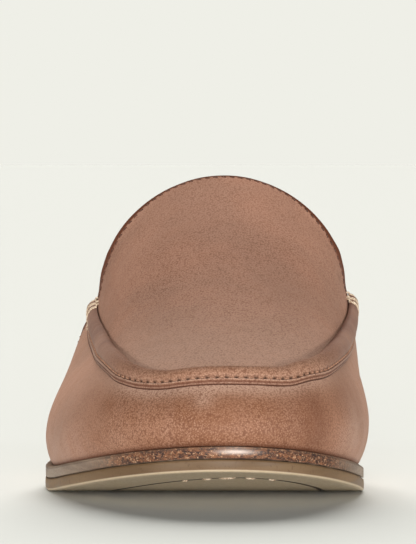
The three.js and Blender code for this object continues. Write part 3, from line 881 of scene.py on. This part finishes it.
def upper_paints(points, row, girth):
    """What the leather's finish reads: warmth, dark places with painted shade, pale places with painted
    light, the grain and the inked edge.
    """
    beside_seam = np.abs(girth) - SEAM_GIRTH
    wall = smoothstep(beside_seam, -0.02, 0.02)
    toe = 1 - smoothstep(row, 0.1, 0.42)
    ragged = rough_noise(points, 9, 11)
    patches = 0.85 + 0.4 * rough_noise(points, 16, 17)
    # Painted shade along the foot of the wall, just above the midsole
    foot = smoothstep(points[..., 2] - feather_line(points[..., 1]), 1.4, 0.2)
    # Painted shade in the crease beside the raised seam
    crease = hill(beside_seam, 0.022) * smoothstep(row, 0.12, 0.45)
    # Painted shade over the lateral edge of the plug
    lateral_plug_shade = hill(girth + 0.42, 0.08) * smoothstep(row, 0.4, 0.7)
    # Painted light on the front of the plug, on the side walls and along the top of the toe wall
    pale = 0.5 * (1 - wall) * smoothstep(row, 0.55, 0.2) + 0.25 * wall * smoothstep(row, 0.2, 0.45)
    pale = pale + 0.65 * toe * hill(beside_seam - 0.05, 0.06)
    inset = rim_inset(girth, 1.2, 3.0)
    paints = {
        "warmth": 0.12 + wall * (0.1 + 0.8 * toe),
        "dark": spots("dark", points, ragged) + 0.5 * foot + 0.75 * crease + 0.16 * lateral_plug_shade,
        "light": spots("light", points, ragged) + pale,
        "edge": smoothstep(edge_distance(points) + 0.15 * ragged, inset, inset - 0.5),
        "grain": (0.62 + wall * (0.6 * toe - 0.3)) * patches,
    }
    return {name: np.clip(values, 0, 1) for name, values in paints.items()}


def wall_solid(name, outer, inner, back, paints, material):
    """A closed wall between two grids, rounded at the topline. back is the way past the edge."""
    middle = (outer[-1] + inner[-1]) / 2
    half = (outer[-1] - inner[-1]) / 2
    angle = np.linspace(0, np.pi, RIM_ROWS + 2)[1:-1]
    rim = middle + np.cos(angle)[:, None, None] * half + np.sin(angle)[:, None, None] * back
    grid = np.concatenate([outer, rim, inner[::-1]])
    rows, columns = grid.shape[:2]
    faces = [grid_quads(rows, columns)]
    lower = np.arange(rows // 2)
    higher = rows - 1 - lower
    for column in (0, columns - 1):
        strip = np.stack([lower[:-1], lower[1:], higher[1:], higher[:-1]], axis=-1)
        faces.append(strip * columns + column)
    spread = {}
    for paint, values in paints.items():
        edge = np.repeat(values[-1:], RIM_ROWS, axis=0)
        spread[paint] = np.concatenate([values, edge, values[::-1]])
    return make_mesh(name, grid, np.concatenate(faces), material, spread)


def offset_grid(points, normals, distance):
    """A grid moved along its normals. Its feet move level, along the midsole."""
    moved = points + normals * distance
    for column in (0, -1):
        level = normals[:, column].copy()
        level[:, 2] = 0
        moved[:, column] = points[:, column] + unit(level) * distance
        moved[:, column, 2] = feather_line(moved[:, column, 1])
    return moved


def edge_direction(points):
    return unit(points[-1] - points[-2])


def shaped_wall(columns, rows, setback):
    """The face's rows and girths, its even points with their normals, and its points in relief."""
    girths = np.linspace(-1, 1, columns + 1)
    row, face = wall_grid(girths, rows, setback)
    girth = np.broadcast_to(girths, row.shape)
    normals = grid_normals(face)
    return row, girth, face, normals, face + normals * relief(face, row, girth)[..., None]


def make_upper():
    row, girth, face, normals, shaped = shaped_wall(GIRTH_COLUMNS, BODY_ROWS, SHELL_THICKNESS / 2)
    inner = offset_grid(shaped, normals, -SHELL_THICKNESS)
    back = edge_direction(face) * SHELL_THICKNESS / 2
    paints = upper_paints(face, row, girth)
    return wall_solid("upper_shell", shaped, inner, back, paints, upper_leather())


LINING_STEP = 0.35


def make_lining():
    """The lining lies against the shell and stops a little short of its edge."""
    half = (UPPER_WALL - SHELL_THICKNESS) / 2
    grid = shaped_wall(GIRTH_COLUMNS // 2, BODY_ROWS // 2, LINING_STEP + half)
    normals, shaped = grid[3:]
    outer = offset_grid(shaped, normals, -SHELL_THICKNESS)
    inner = offset_grid(shaped, normals, -UPPER_WALL)
    back = edge_direction(shaped) * half
    return wall_solid("upper_lining", outer, inner, back, {}, lining_leather())


# The raised seam

ROLL_RINGS = 840
ROLL_STITCH = 2.5
ROLL_SECTION = table(
    "at across rise",
    (0.0, -0.42, -1.2),
    (0.06, -0.44, 0.05),
    (0.12, -0.44, 0.35),
    (0.19, -0.39, 0.66),
    (0.27, -0.29, 0.9),
    (0.36, -0.16, 1.02),
    (0.45, -0.02, 1.03),
    (0.54, 0.11, 0.95),
    (0.61, 0.205, 0.82),
    (0.66, 0.265, 0.66),
    (0.7, 0.3, 0.55),
    (0.74, 0.34, 0.6),
    (0.79, 0.395, 0.61),
    (0.83, 0.43, 0.5),
    (0.86, 0.443, 0.3),
    (0.89, 0.475, 0.27),
    (0.93, 0.51, 0.22),
    (0.96, 0.53, 0.05),
    (1.0, 0.53, -1.2),
)
SECTION_POINTS = 46
STITCH_AT = 0.7
ROLL_SKIN = 0.06
ROLL_END_ROUND = 2.4
END_LEAN = 0.85  # the end is cut along the topline, so its apron side lies further forward
WRAP_PLACES = [1.0, 3.9, 4.6, 7.8, 8.5]
THREAD_RADIUS = 0.25

roll_across = table_column(ROLL_SECTION, "across")
roll_rise = table_column(ROLL_SECTION, "rise")
roll_ends = {side: float(topline_row(side * SEAM_GIRTH)) for side in (LATERAL, MEDIAL)}

SEAM_CENTRE = np.array([0, 90, 20])  # inside the foot's space, so that out points away from it
STITCH_HOLE = {"depth": 0.6, "width": 0.46}
STITCH_GROOVE = {"depth": 0.16, "width": 0.04}  # its width is a share of the section
WRAP_PINCH = {"depth": 0.1, "width": 0.45}
STITCHED_FROM = {"start": 7, "end": 9}  # distances from the seam's ends
LEAN_FADE = {"start": 14, "end": 1}


def seam_place(way, girth=SEAM_GIRTH):
    """A point by the signed way round the seam: under 0 laterally, 0 at the toe tip."""
    way = np.asarray(way, float)
    return last_point(np.abs(way), side_of(way) * girth)


def seam_ways(count):
    """Ways round the seam, evenly spaced along it, with their distances from the lateral end."""
    dense = np.linspace(-roll_ends[LATERAL], roll_ends[MEDIAL], 4001)
    along = distances(seam_place(dense))
    distance = np.linspace(0, along[-1], count)
    return np.interp(distance, along, dense), distance


def seam_frames(way):
    """At each way: the seam's point, its direction, the way down the wall and the way out."""
    step = 0.01
    girth_step = 0.08
    middle = seam_place(way)
    along = unit(seam_place(way + step) - seam_place(way - step))
    down = seam_place(way, SEAM_GIRTH + girth_step) - seam_place(way, SEAM_GIRTH - girth_step)
    down = unit(down - along * dot(down, along))
    out = unit(np.cross(down, along))
    return middle, along, down, out * np.sign(dot(out, middle - SEAM_CENTRE))


def surface_profile(way, middle, down, out):
    """How the upper's face runs beside the seam: distances down it and heights over its plane."""
    girths = SEAM_GIRTH + np.linspace(-0.14, 0.2, 18)
    places = np.stack([seam_place(way, girth) for girth in girths], axis=1) - middle[:, None]
    return np.sum(places * down[:, None], axis=-1), np.sum(places * out[:, None], axis=-1)


def roll_widths(way):
    ends = np.where(way < 0, roll_ends[LATERAL], roll_ends[MEDIAL])
    return ROLL_TOE_WIDTH + (ROLL_END_WIDTH - ROLL_TOE_WIDTH) * np.abs(way) / ends


def stitch_groove(at):
    return hill(at - STITCH_AT, STITCH_GROOVE["width"])


def roll_paints(way, at, stitched, hole):
    """What the leather's finish reads, with painted shade and painted highlights. at runs over the
    section from the apron's side to the wall's.
    """
    side = smoothstep(np.abs(way), 0.1, 0.4)[:, None]
    # Painted shade in the crease between the raised seam and the plug, strongest along the sides
    plug_side = smoothstep(at, 0.2, 0.08) * side
    # Painted shadow lines under the two leather edges below the stitches
    steps = 0.9 * hill(at - 0.855, 0.028) + hill(at - 0.965, 0.04)
    # Painted shade in the stitch holes
    holes = stitched * hole * hill(at - STITCH_AT, 0.05)
    paints = {
        # dark also paints shade in the stitch groove
        "dark": 0.5 * plug_side + 0.45 * stitched * stitch_groove(at) + steps,
        # painted highlights along the tops of the two leather edges
        "light": 0.45 * hill(at - 0.78, 0.035) + 0.4 * hill(at - 0.915, 0.02),
        "warmth": 0.95 - 0.85 * side,
        "grain": 0.85 - 0.65 * side,
        # painted shade in the holes and a painted shadow line under the lower edge
        "hole": 1.4 * holes + 0.45 * hill(at - 0.965, 0.03),
    }
    return {name: np.clip(values, 0, 1) for name, values in paints.items()}


def roll_form():
    """The sweep's ways round the seam, with their distances, top and under sides and paints."""
    way, distance = seam_ways(ROLL_RINGS)
    middle, along, down, out = seam_frames(way)
    from_end = np.minimum(distance, distance[-1] - distance)
    rounding = np.sqrt(1 - np.clip(1 - from_end / ROLL_END_ROUND, 0, 0.97) ** 2)
    wrapped = sum(hill(from_end - place, WRAP_PINCH["width"]) for place in WRAP_PLACES)
    pinch = 1 - WRAP_PINCH["depth"] * wrapped
    at = np.linspace(0, 1, SECTION_POINTS)
    across = roll_widths(way)[:, None] * roll_across(at)
    rise = ROLL_RISE * roll_rise(at) * (rounding * pinch)[:, None]
    rise = rise * (1 + 0.03 * value_noise(middle / 9, 1, 5))[:, None]
    phase = (distance / ROLL_STITCH) % 1
    hole = hill(np.minimum(phase, 1 - phase) * ROLL_STITCH, STITCH_HOLE["width"])[:, None]
    stitched = smoothstep(from_end, **STITCHED_FROM)[:, None]
    depth = STITCH_GROOVE["depth"] + STITCH_HOLE["depth"] * hole
    rise = rise - depth * stitch_groove(at) * stitched
    side_down, side_out = surface_profile(way, middle, down, out)
    face = np.stack([np.interp(a, d, o) for a, d, o in zip(across, side_down, side_out)])
    lean = END_LEAN * smoothstep(from_end, **LEAN_FADE) * np.sign(distance - distance[-1] / 2)
    back = np.clip(-across, 0, None) * lean[:, None]
    top, under = (
        middle[:, None] + down[:, None] * across[..., None] + out[:, None] * height[..., None]
        - along[:, None] * back[..., None]
        for height in (np.maximum(rise, face + ROLL_SKIN), face + 0.02)
    )
    return way, distance, top, under[:, ::-5][:, 1:-1], roll_paints(way, at, stitched, hole)


def make_roll(form):
    """The swept rings, closed by a fan of faces at each end."""
    top, under, paints = form[2:]
    loops = np.concatenate([top, under, top[:, :1]], axis=1)
    rings, columns = loops.shape[:2]
    faces = [grid_quads(rings, columns)]
    j = np.arange(columns - 1)
    for end, row in enumerate((0, rings - 1)):
        tip = np.full_like(j, rings * columns + end)
        faces.append(np.stack([row * columns + j, row * columns + j + 1, tip, tip], axis=-1))
    points = np.concatenate([loops.reshape(-1, 3), loops.mean(axis=1)[[0, -1]]])
    spread = {}
    for name, values in paints.items():
        values = np.broadcast_to(values, top.shape[:2])
        low = np.repeat(values[:, :1], columns - top.shape[1], axis=1)
        spread[name] = np.append(np.concatenate([values, low], axis=1), [0, 0])
    return make_mesh("roll_leather", points, np.concatenate(faces), roll_leather(), spread)


def make_roll_stitches(form, material):
    """Stitches in the groove of the raised seam, diving into their holes."""
    way, distance, top = form[:3]
    random = np.random.default_rng(4)
    line = top[:, int(round(STITCH_AT * (SECTION_POINTS - 1)))]
    normal = seam_frames(way)[3]
    share = np.linspace(-1, 1, 7)
    dive = np.abs(share) ** 3
    paths = []
    for number in range(3, int(distance[-1] / ROLL_STITCH) - 2):
        start = number * ROLL_STITCH + 0.62 + 0.1 * random.random()
        end = (number + 1) * ROLL_STITCH - 0.55 - 0.1 * random.random()
        place = (start + end) / 2 + (end - start) / 2 * share
        out = pick(place, distance, normal)
        paths.append(pick(place, distance, line) + out * (0.3 - 0.5 * dive)[:, None])
    radii = [THREAD_RADIUS * (1 - 0.35 * dive)] * len(paths)
    return make_tubes("roll_stitches", paths, radii, material)


WRAP_DIP = 0.7
WRAP_SLANT = 1.1
WRAP_REACH = 1.1  # how far inside the raised seam a wrap is sewn into the apron


def wrap_path(top, centre, out, rings, columns):
    """One turn of thread over the roll's top, read between its rings and columns. Its ends dive."""
    low, left = np.floor(rings).astype(int), np.floor(columns).astype(int)
    part, share = (rings - low)[:, None], (columns - left)[:, None]
    before, after = (top[i, left] * (1 - share) + top[i, left + 1] * share for i in (low, low + 1))
    path = before * (1 - part) + after * part
    path = path + unit(path - centre[low]) * THREAD_RADIUS * 0.8
    first_out, last_out = out[low[0]], out[low[-1]]
    inward = unit(path[0] - path[8])
    inward = unit(inward - first_out * np.dot(inward, first_out))
    reached = path[0] + inward * WRAP_REACH + first_out * 0.1
    halfway = path[0] + inward * WRAP_REACH / 2 + first_out * 0.35
    first_dip = reached - first_out * WRAP_DIP + inward * 0.2
    last_dip = path[-1] - last_out * WRAP_DIP
    return np.concatenate([[first_dip, reached, halfway], path[1:], [last_dip]])


def make_wraps(form, material):
    """Turns of waxed thread round both ends of the raised seam, sewn in beside it."""
    way, distance, top = form[:3]
    centre, out = seam_place(way), seam_frames(way)[3]
    columns = np.linspace(1, SECTION_POINTS - 2, 30)
    slant = WRAP_SLANT * (columns / (SECTION_POINTS - 1) - 0.5)
    reaches = [place + slant for place in WRAP_PLACES]
    reaches += [distance[-1] - reach for reach in reaches]
    paths = []
    for reach in reaches:
        rings = np.interp(reach, distance, np.arange(len(distance)))
        paths.append(wrap_path(top, centre, out, rings, columns))
    return make_tubes("roll_wraps", paths, [THREAD_RADIUS] * len(paths), material)


# Stitches of the topline

TOPLINE_STITCH = 2.45
OUTER_STITCH_SINK = 0.12  # the stitches outside the raised seam lie deeper and are thinner
THROAT_CENTRE = np.array([0, 120, 30])  # inside the foot's space


def topline_stitch_line():
    """The stitches' line from the foot of one side to the other: its girths, points, way out of
    the face and way across it."""
    girths = np.linspace(-0.97, 0.97, 2400)
    edge = topline_row(girths)
    line = last_point(edge, girths)
    tangent = unit(np.gradient(line, axis=0))
    column = unit(line - last_point(edge - ROW_STEP, girths))
    slope = lengths(column - tangent * dot(column, tangent))
    inset = rim_inset(girths, 1.25, 3.1)
    row = edge - inset / (row_speed(edge, girths) * np.maximum(slope, 0.3))
    line = last_point(row, girths)
    normal = face_normal(row, girths)
    normal = normal * np.sign(dot(normal, line - THROAT_CENTRE))
    line = line + normal * relief(line, row, girths)[:, None]
    return girths, line, normal, unit(np.cross(np.gradient(line, axis=0), normal))


def make_topline_stitches(material):
    """Dark stitches along the throat, slanting a little and diving into their holes."""
    girths, line, normal, sideways = topline_stitch_line()
    along = distances(line)
    random = np.random.default_rng(9)
    share = np.linspace(-1, 1, 7)
    dive = np.abs(share) ** 3
    seams = np.interp([-SEAM_GIRTH, SEAM_GIRTH], girths, along)
    paths, radii = [], []
    for number in range(int(along[-1] / TOPLINE_STITCH)):
        middle = (number + 0.5) * TOPLINE_STITCH
        if np.abs(middle - seams).min() < ROLL_END_WIDTH / 2:
            continue
        place = middle + (0.68 + 0.08 * random.random()) * share
        path, out, aside = (pick(place, along, values) for values in (line, normal, sideways))
        outside = min(middle, along[-1] - middle) < min(seams[0], along[-1] - seams[1])
        sunk = OUTER_STITCH_SINK if outside else 0
        lift = 0.1 - sunk - 0.36 * dive
        paths.append(path + out * lift[:, None] + aside * (0.2 * share)[:, None])
        radii.append((0.28 - 0.6 * sunk) * (1 - 0.35 * dive))
    return make_tubes("topline_stitches", paths, radii, material)


# The layers of the bottom

EDGE_STATIONS = 640


def as_function(value):
    """A number as a function of the edge's turn and s."""
    return value if callable(value) else lambda turn, s: np.full_like(s, float(value))


def above(base, z=0):
    """A height over one of the bottom's faces."""
    return lambda turn, s: base(s) + z


def ring(inset, height, **paints):
    """One line round a layer's section. Its inset from the sole's edge, its height and its paints
    are numbers or functions of the edge's turn and s."""
    values = {"inset": inset, "height": height, **paints}
    return {name: as_function(value) for name, value in values.items()}


def rounded(radius, angles=(30, 60, 90)):
    """Steps round an edge: how far in and how far down each one lies."""
    turned = [math.radians(angle) for angle in angles]
    return [(radius * (1 - math.cos(angle)), radius * (1 - math.sin(angle))) for angle in turned]


def layer(name, rings, start, stations, material, paints, sharp):
    """A layer of the bottom, from the turn called start to the heel tip on both sides."""
    turns = np.linspace(start, np.pi, stations + 1)
    turns = np.concatenate([-turns[::-1], turns])
    edge_s = edge_point(turns)[1]
    points = []
    for one in rings:
        x, s = inset_point(turns, one["inset"](turns, edge_s))
        points.append(np.stack([x, s, one["height"](turns, s)], axis=-1))
    rows, columns = len(rings), len(turns)
    sides = grid_quads(rows, columns)
    j = np.arange(stations)
    strip = np.stack([j, j + 1, columns - 2 - j, columns - 1 - j], axis=-1)
    faces = [sides, strip, strip + (rows - 1) * columns]
    if start > 0:
        faces[0] = sides[np.arange(len(sides)) % (columns - 1) != stations]
        k = np.arange(rows - 1)
        front = np.stack([k * columns + stations, k * columns + stations + 1], -1)
        faces.append(np.concatenate([front, front[:, ::-1] + columns], axis=1))
    spread = {}
    for paint in paints:
        values = [one.get(paint, as_function(0))(turns, edge_s) for one in rings]
        spread[paint] = np.clip(np.stack(values), 0, 1)
    return make_mesh(name, np.stack(points), np.concatenate(faces), material, spread, sharp)


WORN_BACK = {"start": 46, "end": 16}  # the worn place fades between these, back from the toe tip
WORN_ACROSS = {"start": 46, "end": 26}
WORN_MIDDLE = 2


def worn_toe(turn, s):
    """Where the toe's edge is rubbed open: 1 round the tip, 0 from about the ball."""
    x = edge_point(turn)[0]
    return smoothstep(s, **WORN_BACK) * smoothstep(np.abs(x - WORN_MIDDLE), **WORN_ACROSS)


def worn_share(share, least=0):
    return lambda turn, s: least + share * worn_toe(turn, s)


MIDSOLE_SIDE_RINGS = 11
MIDSOLE_SET_IN = 0.16  # how far the rubbed edge lies inside the sole's outline


def chewed(share):
    """Inset of the midsole's edge, roughened where it is worn."""

    def inset(turn, s):
        x = edge_point(turn)[0]
        place = np.stack([x, s, share * MIDSOLE_THICKNESS + 0 * s], axis=-1)
        rough = rough_noise(place * [1, 1, 1.6], 1.7, 21, 4)
        return MIDSOLE_SET_IN + 0.34 * worn_toe(turn, s) * rough + 0.03 * rough

    return inset


def shine(share):
    """A painted highlight on the upper part of the toe's worn edge, in its middle."""

    def value(turn, s):
        x = edge_point(turn)[0]
        return 0.95 * hill(x - 3, 4.6) * hill(share - 0.7, 0.24) * worn_toe(turn, s)

    return value


def make_midsole():
    rings = [ring(inset, above(midsole_bottom)) for inset in (18, 0.25)]
    for number in range(MIDSOLE_SIDE_RINGS + 1):
        share = number / MIDSOLE_SIDE_RINGS
        height = above(midsole_bottom, share * (MIDSOLE_THICKNESS - MIDSOLE_ROUNDING) + 0.05)
        dark = 0.3 * hill(share, 0.06) + 0.45 * hill(1 - share, 0.05)
        rings.append(ring(chewed(share), height, worn=worn_toe, dark=dark, light=shine(share)))
    for extra, drop in rounded(MIDSOLE_ROUNDING):
        height = above(midsole_bottom, MIDSOLE_THICKNESS - drop)
        rings.append(ring(MIDSOLE_SET_IN + extra, height, worn=worn_share(0.8), light=shine(1.0)))
    rings.append(ring(WELT_MARGIN + 3, above(midsole_top)))
    paints = ["worn", "dark", "light"]
    return layer("midsole_edge", rings, 0, EDGE_STATIONS, midsole_leather(), paints, 60)


# Stitches that show in the sole's channel: distance from the middle line and length
CHANNEL_STITCHES = [(-11.0, 1.3), (-5.0, 2.2), (0.6, 4.6), (7.0, 2.6), (13.0, 1.8)]
CHANNEL_DEPTH = 0.5
CHANNEL_HALF = 0.5


def channel_inset(turn, s):
    """The channel lies further from the edge on the lateral side."""
    return 14.5 - 2.6 * np.tanh(3 * np.asarray(turn))


def channel_ring(extra, depth=0, dark=0):
    def inset(turn, s):
        return channel_inset(turn, s) + extra

    return ring(inset, above(outsole_bottom, depth), under=1, dark=dark)


def make_outsole():
    rings = [
        channel_ring(4),
        channel_ring(2 * CHANNEL_HALF),
        channel_ring(CHANNEL_HALF, dark=1),
        channel_ring(0, CHANNEL_DEPTH, 1),
        channel_ring(-CHANNEL_HALF, dark=1),
        channel_ring(-2 * CHANNEL_HALF),
    ]
    for inset in (8, 4, 2, OUTSOLE_BEVEL + 0.25):
        rings.append(ring(inset, above(outsole_bottom), under=1))
    for z, inset in rounded(OUTSOLE_BEVEL, (25, 50, 75)):
        rings.append(ring(inset + 0.1, above(outsole_bottom, z), under=0.4, light=0.35))
    for share, least in ((0.22, 0), (0.4, 0), (0.6, 0), (0.8, 0), (0.93, 0.12)):
        inset = 0.05 + 0.14 * (2 * share - 1) ** 2
        height = above(outsole_bottom, share * OUTSOLE_THICKNESS)
        rings.append(ring(inset, height, dark=worn_share(0.36, least)))
    rings.append(ring(0.35, above(outsole_top), dark=0.5))
    rings.append(ring(9, above(outsole_top)))
    paints = ["under", "dark", "light"]
    return layer("outsole_edge", rings, 0, EDGE_STATIONS, outsole_leather(), paints, 50)


def make_channel_stitches(material):
    turns = np.linspace(-1.2, 1.2, 3000)
    x, s = inset_point(turns, channel_inset(turns, 0))
    line = np.stack([x, s, outsole_bottom(s)], axis=-1)
    share = np.linspace(-1, 1, 9)
    paths = []
    for middle, length in CHANNEL_STITCHES:
        path = pick(middle + share * length / 2, line[:, 0], line)
        path[:, 2] += 0.25 * np.abs(share) ** 4 + 0.02
        paths.append(path)
    radii = [0.5 * (1 - 0.4 * np.abs(share) ** 4)] * len(paths)
    return make_tubes("channel_stitches", paths, radii, material)


def footbed_ring(extra, z, dark=0.0):
    """The footbed fills the upper, and runs out to the sole's edge behind it."""

    def inset(turn, s):
        inside = WELT_MARGIN + UPPER_WALL + CONTACT_GAP
        widening = smoothstep(s, **INSOLE_WIDENING)
        return inside + (INSOLE_HEEL_MARGIN - inside) * widening + extra

    return ring(inset, above(feather_line, z), dark=dark)


def make_footbed():
    top = INSOLE_THICKNESS
    rings = [footbed_ring(6, 0), footbed_ring(0.15, 0), footbed_ring(0, 0.2, 0.5)]
    rings.append(footbed_ring(0, top - INSOLE_ROUNDING, 0.3))
    rings += [footbed_ring(extra, top - drop, 0.2) for extra, drop in rounded(INSOLE_ROUNDING)]
    for extra, dip in ((3, 0.1), (6, 0.3), (10, 0.6), (15, 0.85), (21, 1.0)):
        rings.append(footbed_ring(extra, top - dip, 0.06 * extra / 3))
    return layer("footbed", rings, 0, 160, insole_leather(), ["dark"], 50)


HEEL_START = float(turn_at(MEDIAL, SOLE_LENGTH - HEEL_LENGTH))
HEEL_STATIONS = 120
HEEL_LAYERS = 4
HEEL_GROOVE = 0.12


def heel_inset(z):
    return HEEL_INSET + HEEL_TAPER * (1 - np.clip(z / HEEL_HEIGHT, 0, 1))


def heel_ring(share, groove):
    """A line round the heel block: share is 0 at its foot and 1 at its top."""
    lowest = TOP_LIFT_THICKNESS + CONTACT_GAP

    def height(turn, s):
        return lowest + share * (outsole_bottom(s) - CONTACT_GAP - lowest)

    def inset(turn, s):
        return heel_inset(height(turn, s)) + groove

    return ring(inset, height, dark=0.8 if groove else 0)


def make_heel_block():
    rings = []
    for number in range(HEEL_LAYERS):
        for part, groove in ((0.0, HEEL_GROOVE), (0.06, 0), (0.94, 0)):
            rings.append(heel_ring((number + part) / HEEL_LAYERS, groove))

    def top_inset(turn, s):
        return heel_inset(outsole_bottom(s)) + 0.1

    rings.append(ring(top_inset, above(outsole_bottom, -CONTACT_GAP), dark=0.5))
    return layer("heel_stack", rings, HEEL_START, HEEL_STATIONS, heel_leather(), ["dark"], 40)


def make_top_lift():
    top = TOP_LIFT_THICKNESS
    steps = ((0.5, 0), (0.15, 0.12), (0, 0.45), (0, top - 0.3), (0.2, top))
    rings = [ring(float(heel_inset(z)) + extra, z) for extra, z in steps]
    return layer("heel_lift", rings, HEEL_START, HEEL_STATIONS, lift_rubber(), [], 40)


# The pieces

root = "root"
cream = thread("cream_thread", (148, 118, 92), (216, 197, 172))
brown = thread("brown_thread", (58, 30, 18), (92, 56, 38))
seam_cream = thread("seam_stitch_thread", (126, 86, 64), (172, 130, 104))

upper = make_upper()
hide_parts("upper")
lining = make_lining()
form = roll_form()
roll = make_roll(form)
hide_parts("apron_roll")
roll_stitches = make_roll_stitches(form, seam_cream)
wraps = make_wraps(form, cream)
topline_stitches = make_topline_stitches(brown)
midsole = make_midsole()
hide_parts("midsole")
outsole = make_outsole()
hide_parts("outsole")
channel_stitches = make_channel_stitches(cream)
footbed = make_footbed()
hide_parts("insole")
heel_stack = make_heel_block()
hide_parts("heel_block")
heel_lift = make_top_lift()
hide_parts("heel_top_lift")

SLOTS = [
    (upper, "upper_leather"),
    (lining, "lining_leather"),
    (roll, "upper_leather"),
    (roll_stitches, "thread"),
    (wraps, "thread"),
    (topline_stitches, "seam_thread"),
    (midsole, "midsole_leather"),
    (outsole, "outsole_leather"),
    (channel_stitches, "thread"),
    (footbed, "insole_leather"),
    (heel_stack, "heel_leather"),
    (heel_lift, "lift_rubber"),
]
for piece, slot in SLOTS:
    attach(piece, root)

# Stage, lights and camera

BACKGROUND = np.array(srgb(239, 239, 231)[:3])
WORLD_LIGHT = 0.12
# Suns: name, tilt from overhead, turn from the viewer's side, strength and spread
SUNS = [
    ("back_light", 68, 180, 10.5, 26),
    ("front_light", 83, 0, 2.95, 20),
    ("left_light", 87, -52, 1.9, 14),
    ("right_light", 87, 52, 2.1, 14),
]


def add_mesh(name, points, faces, material):
    mesh = bpy.data.meshes.new(name)
    mesh.from_pydata(points, [], faces)
    mesh.materials.append(material)
    return add_object(name, mesh)


def add_sun(name, tilt, turn, strength, spread):
    """A sun, with its share of the light on the floor."""
    data = bpy.data.lights.new(name, "SUN")
    data.energy = strength
    data.angle = math.radians(spread)
    light = add_object(name, data)
    light.rotation_mode = "QUATERNION"
    tilt, turn = math.radians(tilt), math.radians(turn)
    level = math.sin(tilt)
    source = Vector((level * math.sin(turn), -level * math.cos(turn), math.cos(tilt)))
    light.rotation_quaternion = source.to_track_quat("Z", "Y")
    return light, strength * math.cos(tilt) / math.pi


def add_floor(size, sun_share):
    """Pale paper whose brightness in the open equals the background's. size is in metres."""
    paper = Finish("floor_paper", 1.0, 0.0)
    lit = BACKGROUND / (BACKGROUND * WORLD_LIGHT + sun_share)
    paper.shader.inputs["Base Color"].default_value = (*lit.tolist(), 1)
    corners = [(-size, -size, 0), (size, -size, 0), (size, size, 0), (-size, size, 0)]
    return add_mesh("floor", corners, [(0, 1, 2, 3)], paper.material)


def add_backdrop(radius, height, sides=48):
    """A round pale screen that only the camera sees, in metres."""
    screen = Finish("backdrop_screen", 1.0, 0.0)
    screen.shader.inputs["Base Color"].default_value = (0, 0, 0, 1)
    screen.shader.inputs["Emission Color"].default_value = (*BACKGROUND.tolist(), 1)
    screen.shader.inputs["Emission Strength"].default_value = 1
    angles = [2 * math.pi * k / sides for k in range(sides)]
    circle = [(radius * math.cos(a), radius * math.sin(a)) for a in angles]
    points = [(x, y, z) for z in (-1, height) for x, y in circle]
    faces = [(k, (k + 1) % sides, sides + (k + 1) % sides, sides + k) for k in range(sides)]
    faces.append(tuple(range(sides, 2 * sides)))
    piece = add_mesh("backdrop", points, faces, screen.material)
    piece.visible_diffuse = False
    piece.visible_glossy = False
    piece.visible_transmission = False
    piece.visible_volume_scatter = False
    piece.visible_shadow = False
    return piece


world = bpy.data.worlds.new("studio")
world.use_nodes = True
sky = world.node_tree.nodes["Background"]
sky.inputs["Color"].default_value = (*BACKGROUND.tolist(), 1)
sky.inputs["Strength"].default_value = WORLD_LIGHT
bpy.context.scene.world = world

sun_share = 0
for sun in SUNS:
    light, share = add_sun(*sun)
    sun_share += share
    light.visible_glossy = light.name != "back_light"
add_floor(60, sun_share)
add_backdrop(50, 60)

ELEVATION = math.radians(1.3)
DISTANCE = 1.4
FOCAL_PIXELS = 5150
IMAGE_HEIGHT = 544
target = Vector((0.0006, -SOLE_LENGTH * MM / 2, 0.0646))
camera_data = bpy.data.cameras.new("camera")
camera_data.lens = FOCAL_PIXELS * camera_data.sensor_width / IMAGE_HEIGHT
camera = add_object("camera", camera_data)
toward = Vector((0, math.cos(ELEVATION), -math.sin(ELEVATION)))
camera.location = target - toward * DISTANCE
camera.rotation_mode = "QUATERNION"
camera.rotation_quaternion = toward.to_track_quat("-Z", "Y")
bpy.context.scene.camera = camera
bpy.context.scene.view_settings.view_transform = "Standard"
